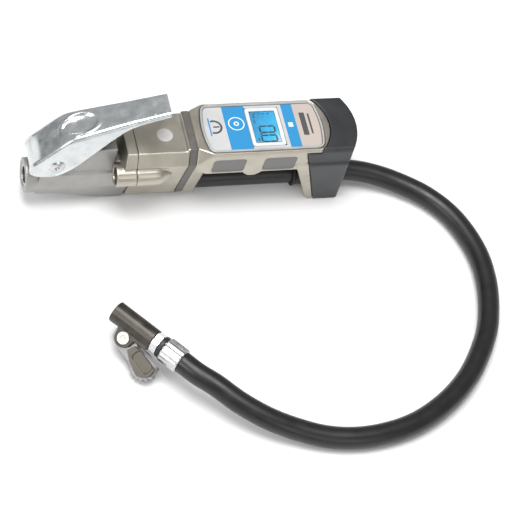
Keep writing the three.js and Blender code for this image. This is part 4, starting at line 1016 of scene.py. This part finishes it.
# %% Sticker and small pieces
sticker_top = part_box("front_collar")[1].z
sticker_profile = rounded_profile([(0, 0), (5.4, 0), (5.4, 0.16), (0, 0.16)], 0.08)
sticker_film = finish("sticker_film", (0.50, 0.49, 0.47), (0.54, 0.53, 0.51), 0.5, grain=0.8, cloud=3)
sticker = turned("round_sticker", sticker_profile, (-0.0212, -0.0015, sticker_top), (0, 0, 1), 48)
settle(sticker, "housing", "label_film", sticker_film)


def bevelled(source, body, slot, material, width=0.3):
    """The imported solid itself, copied and given a small bevel, in that finish."""
    piece = tidied(source + "_edged", frame["nodes"][source].data.copy())
    add_bevel(piece, width)
    return settle(piece, body, slot, material, source)


for source, slot, material, width in (
    ("inlet_bush", "steel", bright_steel, 0.3),
    ("housing_screw_near", "steel", bright_steel, 0.2),
    ("housing_screw_far", "steel", bright_steel, 0.2),
    ("battery_cover", "satin_nickel", satin_nickel, 0.5),
    ("hose_sleeve", "seal_rubber", seal_rubber, 0.4),
    ("inflate_plunger", "steel", bright_steel, 0.2),
    ("deflate_plunger", "steel", bright_steel, 0.2),
    ("inflate_gland", "brass", brass, 0.2),
    ("deflate_gland", "brass", brass, 0.2),
):
    bevelled(source, source if source.endswith("plunger") else "housing", slot, material, width)
print("small pieces done")

# %% [markdown]
# ## Connector
# The connector is modelled in its own millimetres: a along the barrel from its mouth, s from the
# barrel to the clip, and w across both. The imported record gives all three, from the mouth's mount
# and the clip's hinge.

# %% The connector's own axes
mouth = next(m for m in frame["record"]["mounts"] if m["name"] == "connector_face")
clip_joint = next(j for j in frame["joints"] if j["name"] == "clip_hinge")
axis_a = -np.array(mouth["axis"]) / np.linalg.norm(mouth["axis"])
axis_w = -np.array(clip_joint["axis"]) / np.linalg.norm(clip_joint["axis"])
axis_s = np.cross(axis_w, axis_a)
axis_s /= np.linalg.norm(axis_s)
EYE = (15.3, 9.45)
connector_zero = np.array(clip_joint["pos_m"]) - (EYE[0] * axis_a + EYE[1] * axis_s) * MM
to_local = np.stack([axis_a, axis_s, axis_w])
print("connector mouth", connector_zero.round(4))


def local_of(piece):
    """The piece's points in the connector's own millimetres, as an array."""
    points = np.zeros(len(piece.data.vertices) * 3)
    piece.data.vertices.foreach_get("co", points)
    return (points.reshape(-1, 3) - connector_zero) @ to_local.T / MM


def move_local(piece, local):
    """Puts the piece's points back from the connector's own millimetres."""
    piece.data.vertices.foreach_set("co", (local * MM @ to_local + connector_zero).ravel())
    piece.data.update()


# %% [markdown]
# The body and the clip are softened copies. The clip's side plates carry a sunk oblong pad for the
# thumb, pushed into the copy's points by the distance from a rounded oblong.

# %% Connector body, web and side plates
chuck = softened("chuck_skin", "chuck_body", 0.26, 4, 0.6)
settle(chuck, "housing", "chuck_bronze", chuck_bronze, "chuck_body")
web = softened("web_skin", "clip_web", 0.2, 3, 0.6)
settle(web, "clip", "steel", web_steel, "clip_web")

PAD = {"centre": (34.2, 14.9), "half": (7.4, 3.7), "corner": 2.4, "turn": 17, "depth": 0.95}


def sink_pad(piece, face):
    """Signed distance d to a rounded oblong; the outer face sinks by depth * step(0.5 - d / 0.5),
    fully inside d = -0.25 and not at all past d = 0.25."""
    local = local_of(piece)
    turn = math.radians(PAD["turn"])
    flat = local[:, :2] - PAD["centre"]
    u = flat @ [math.cos(turn), math.sin(turn)]
    v = flat @ [-math.sin(turn), math.cos(turn)]
    over = np.stack([np.abs(u) - PAD["half"][0], np.abs(v) - PAD["half"][1]], axis=1) + PAD["corner"]
    gap = np.linalg.norm(np.maximum(over, 0), axis=1) + np.minimum(over.max(axis=1), 0) - PAD["corner"]
    outside = smooth_step((np.abs(local[:, 2]) - 4.4) / 0.8)
    moved = PAD["depth"] * smooth_step(0.5 - gap / 0.5)
    local[:, 2] -= face * outside * moved
    move_local(piece, local)


for source, face in (("clip_plate_upper", -1), ("clip_plate_lower", 1)):
    plate = softened(source + "_skin", source, 0.19, 3)
    sink_pad(plate, face)
    settle(plate, "clip", "clip_olive", clip_olive, source)

# %% [markdown]
# The pin's heads show turning rings. The coupling, the black band and the fluted ferrule are turned
# pieces on the barrel's axis; the coupling has six flats with rounded ends.

# %% Pin, coupling, band and ferrule
HEAD, SHAFT = 4.1, 2.0
eye_place = np.array(clip_joint["pos_m"])
ringed = [(0, 6.75), (0.55, 6.78), (0.8, 6.6), (1.5, 6.6), (1.75, 6.75), (2.5, 6.75), (2.7, 6.62),
          (3.0, 6.62), (3.2, 6.75), (3.8, 6.75), (HEAD, 6.45), (HEAD, 5.95), (SHAFT, 5.9)]
half_clip_pin = np.array(ringed, float)
clip_pin_profile = np.vstack([half_clip_pin, (half_clip_pin * [1, -1])[::-1]])
clip_pin = turned("clip_rivet", clip_pin_profile, eye_place, axis_w, 48)
settle(clip_pin, "housing", "pin_nickel", pin_nickel, "clip_pin")

hex_nut = bevelled("hex_coupling", "housing", "steel", bright_steel, 0.45)
band_profile = rounded_profile([(0, 37.3), (7.3, 37.3), (7.45, 37.6), (7.45, 39.7), (7.3, 40),
                                (0, 40)], 0.2)
ferrule_band = turned("band_ring", band_profile, connector_zero, axis_a, 48)
settle(ferrule_band, "housing", "black_plastic", black_plastic, "ferrule_band")
ferrule_profile = rounded_profile([(0, 40.3), (7.7, 40.3), (8.6, 41.2), (8.6, 45), (8.6, 51),
                                   (8.6, 53.8), (8.0, 54.5), (0, 54.5)], 0.35)
ferrule = turned("fluted_ferrule", ferrule_profile, connector_zero, axis_a, 192, flutes=16, depth=0.42)
settle(ferrule, "housing", "steel", bright_steel, "ferrule")

# %% [markdown]
# The hose leaves the object at the valve block's rear face.

# %% [markdown]
# ## Valve springs
# In the tool each spring stands on its seat and shortens as the lever pushes its plunger down; here
# it keeps its imported shape, copied with a mesh of its own. The share that is left, one less the
# plunger's travel over the spring's height at rest, is listed for each valve but not used.

# %% Valve springs
for valve, share_left in (("inflate", 0.853), ("deflate", 0.676)):
    coil = tidied(f"{valve}_coil", frame["nodes"][f"{valve}_spring"].data.copy())
    settle(coil, "housing", "steel", bright_steel, f"{valve}_spring")
    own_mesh(coil)

# %% [markdown]
# ## Pieces that stay as packed
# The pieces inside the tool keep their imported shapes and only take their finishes: filter, seats,
# the board, the cells and their contacts, the sensor and its lead.

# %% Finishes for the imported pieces
kept = [
    (brass, ("inlet_filter", "hose_tail", "valve_depressor")),
    (seal_rubber, ("inflate_seat", "deflate_seat", "chuck_seal")),
    (board_green, ("circuit_board",)),
    (sleeve_print, ("battery_near", "battery_far")),
    (black_plastic, ("sensor_lead",)),
    (bright_steel, ("battery_contact_front", "battery_contact_rear", "pressure_sensor", "clip_spring")),
]
for material, names in kept:
    for name in names:
        holder = frame["nodes"][name]
        holder.data.materials.clear()
        holder.data.materials.append(material)
print("packed pieces with a finish:", sum(len(names) for _, names in kept))

# %% [markdown]
# ## Sizes
# The last line prints the visual model's size over the imported model's size along each axis.

# %% Sizes and the closing line
visual_box = [list(corner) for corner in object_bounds()]
grown = (np.ptp(visual_box, axis=0) / np.ptp(cad_box, axis=0)).round(4).tolist()
print("visual size over packed size", grown)
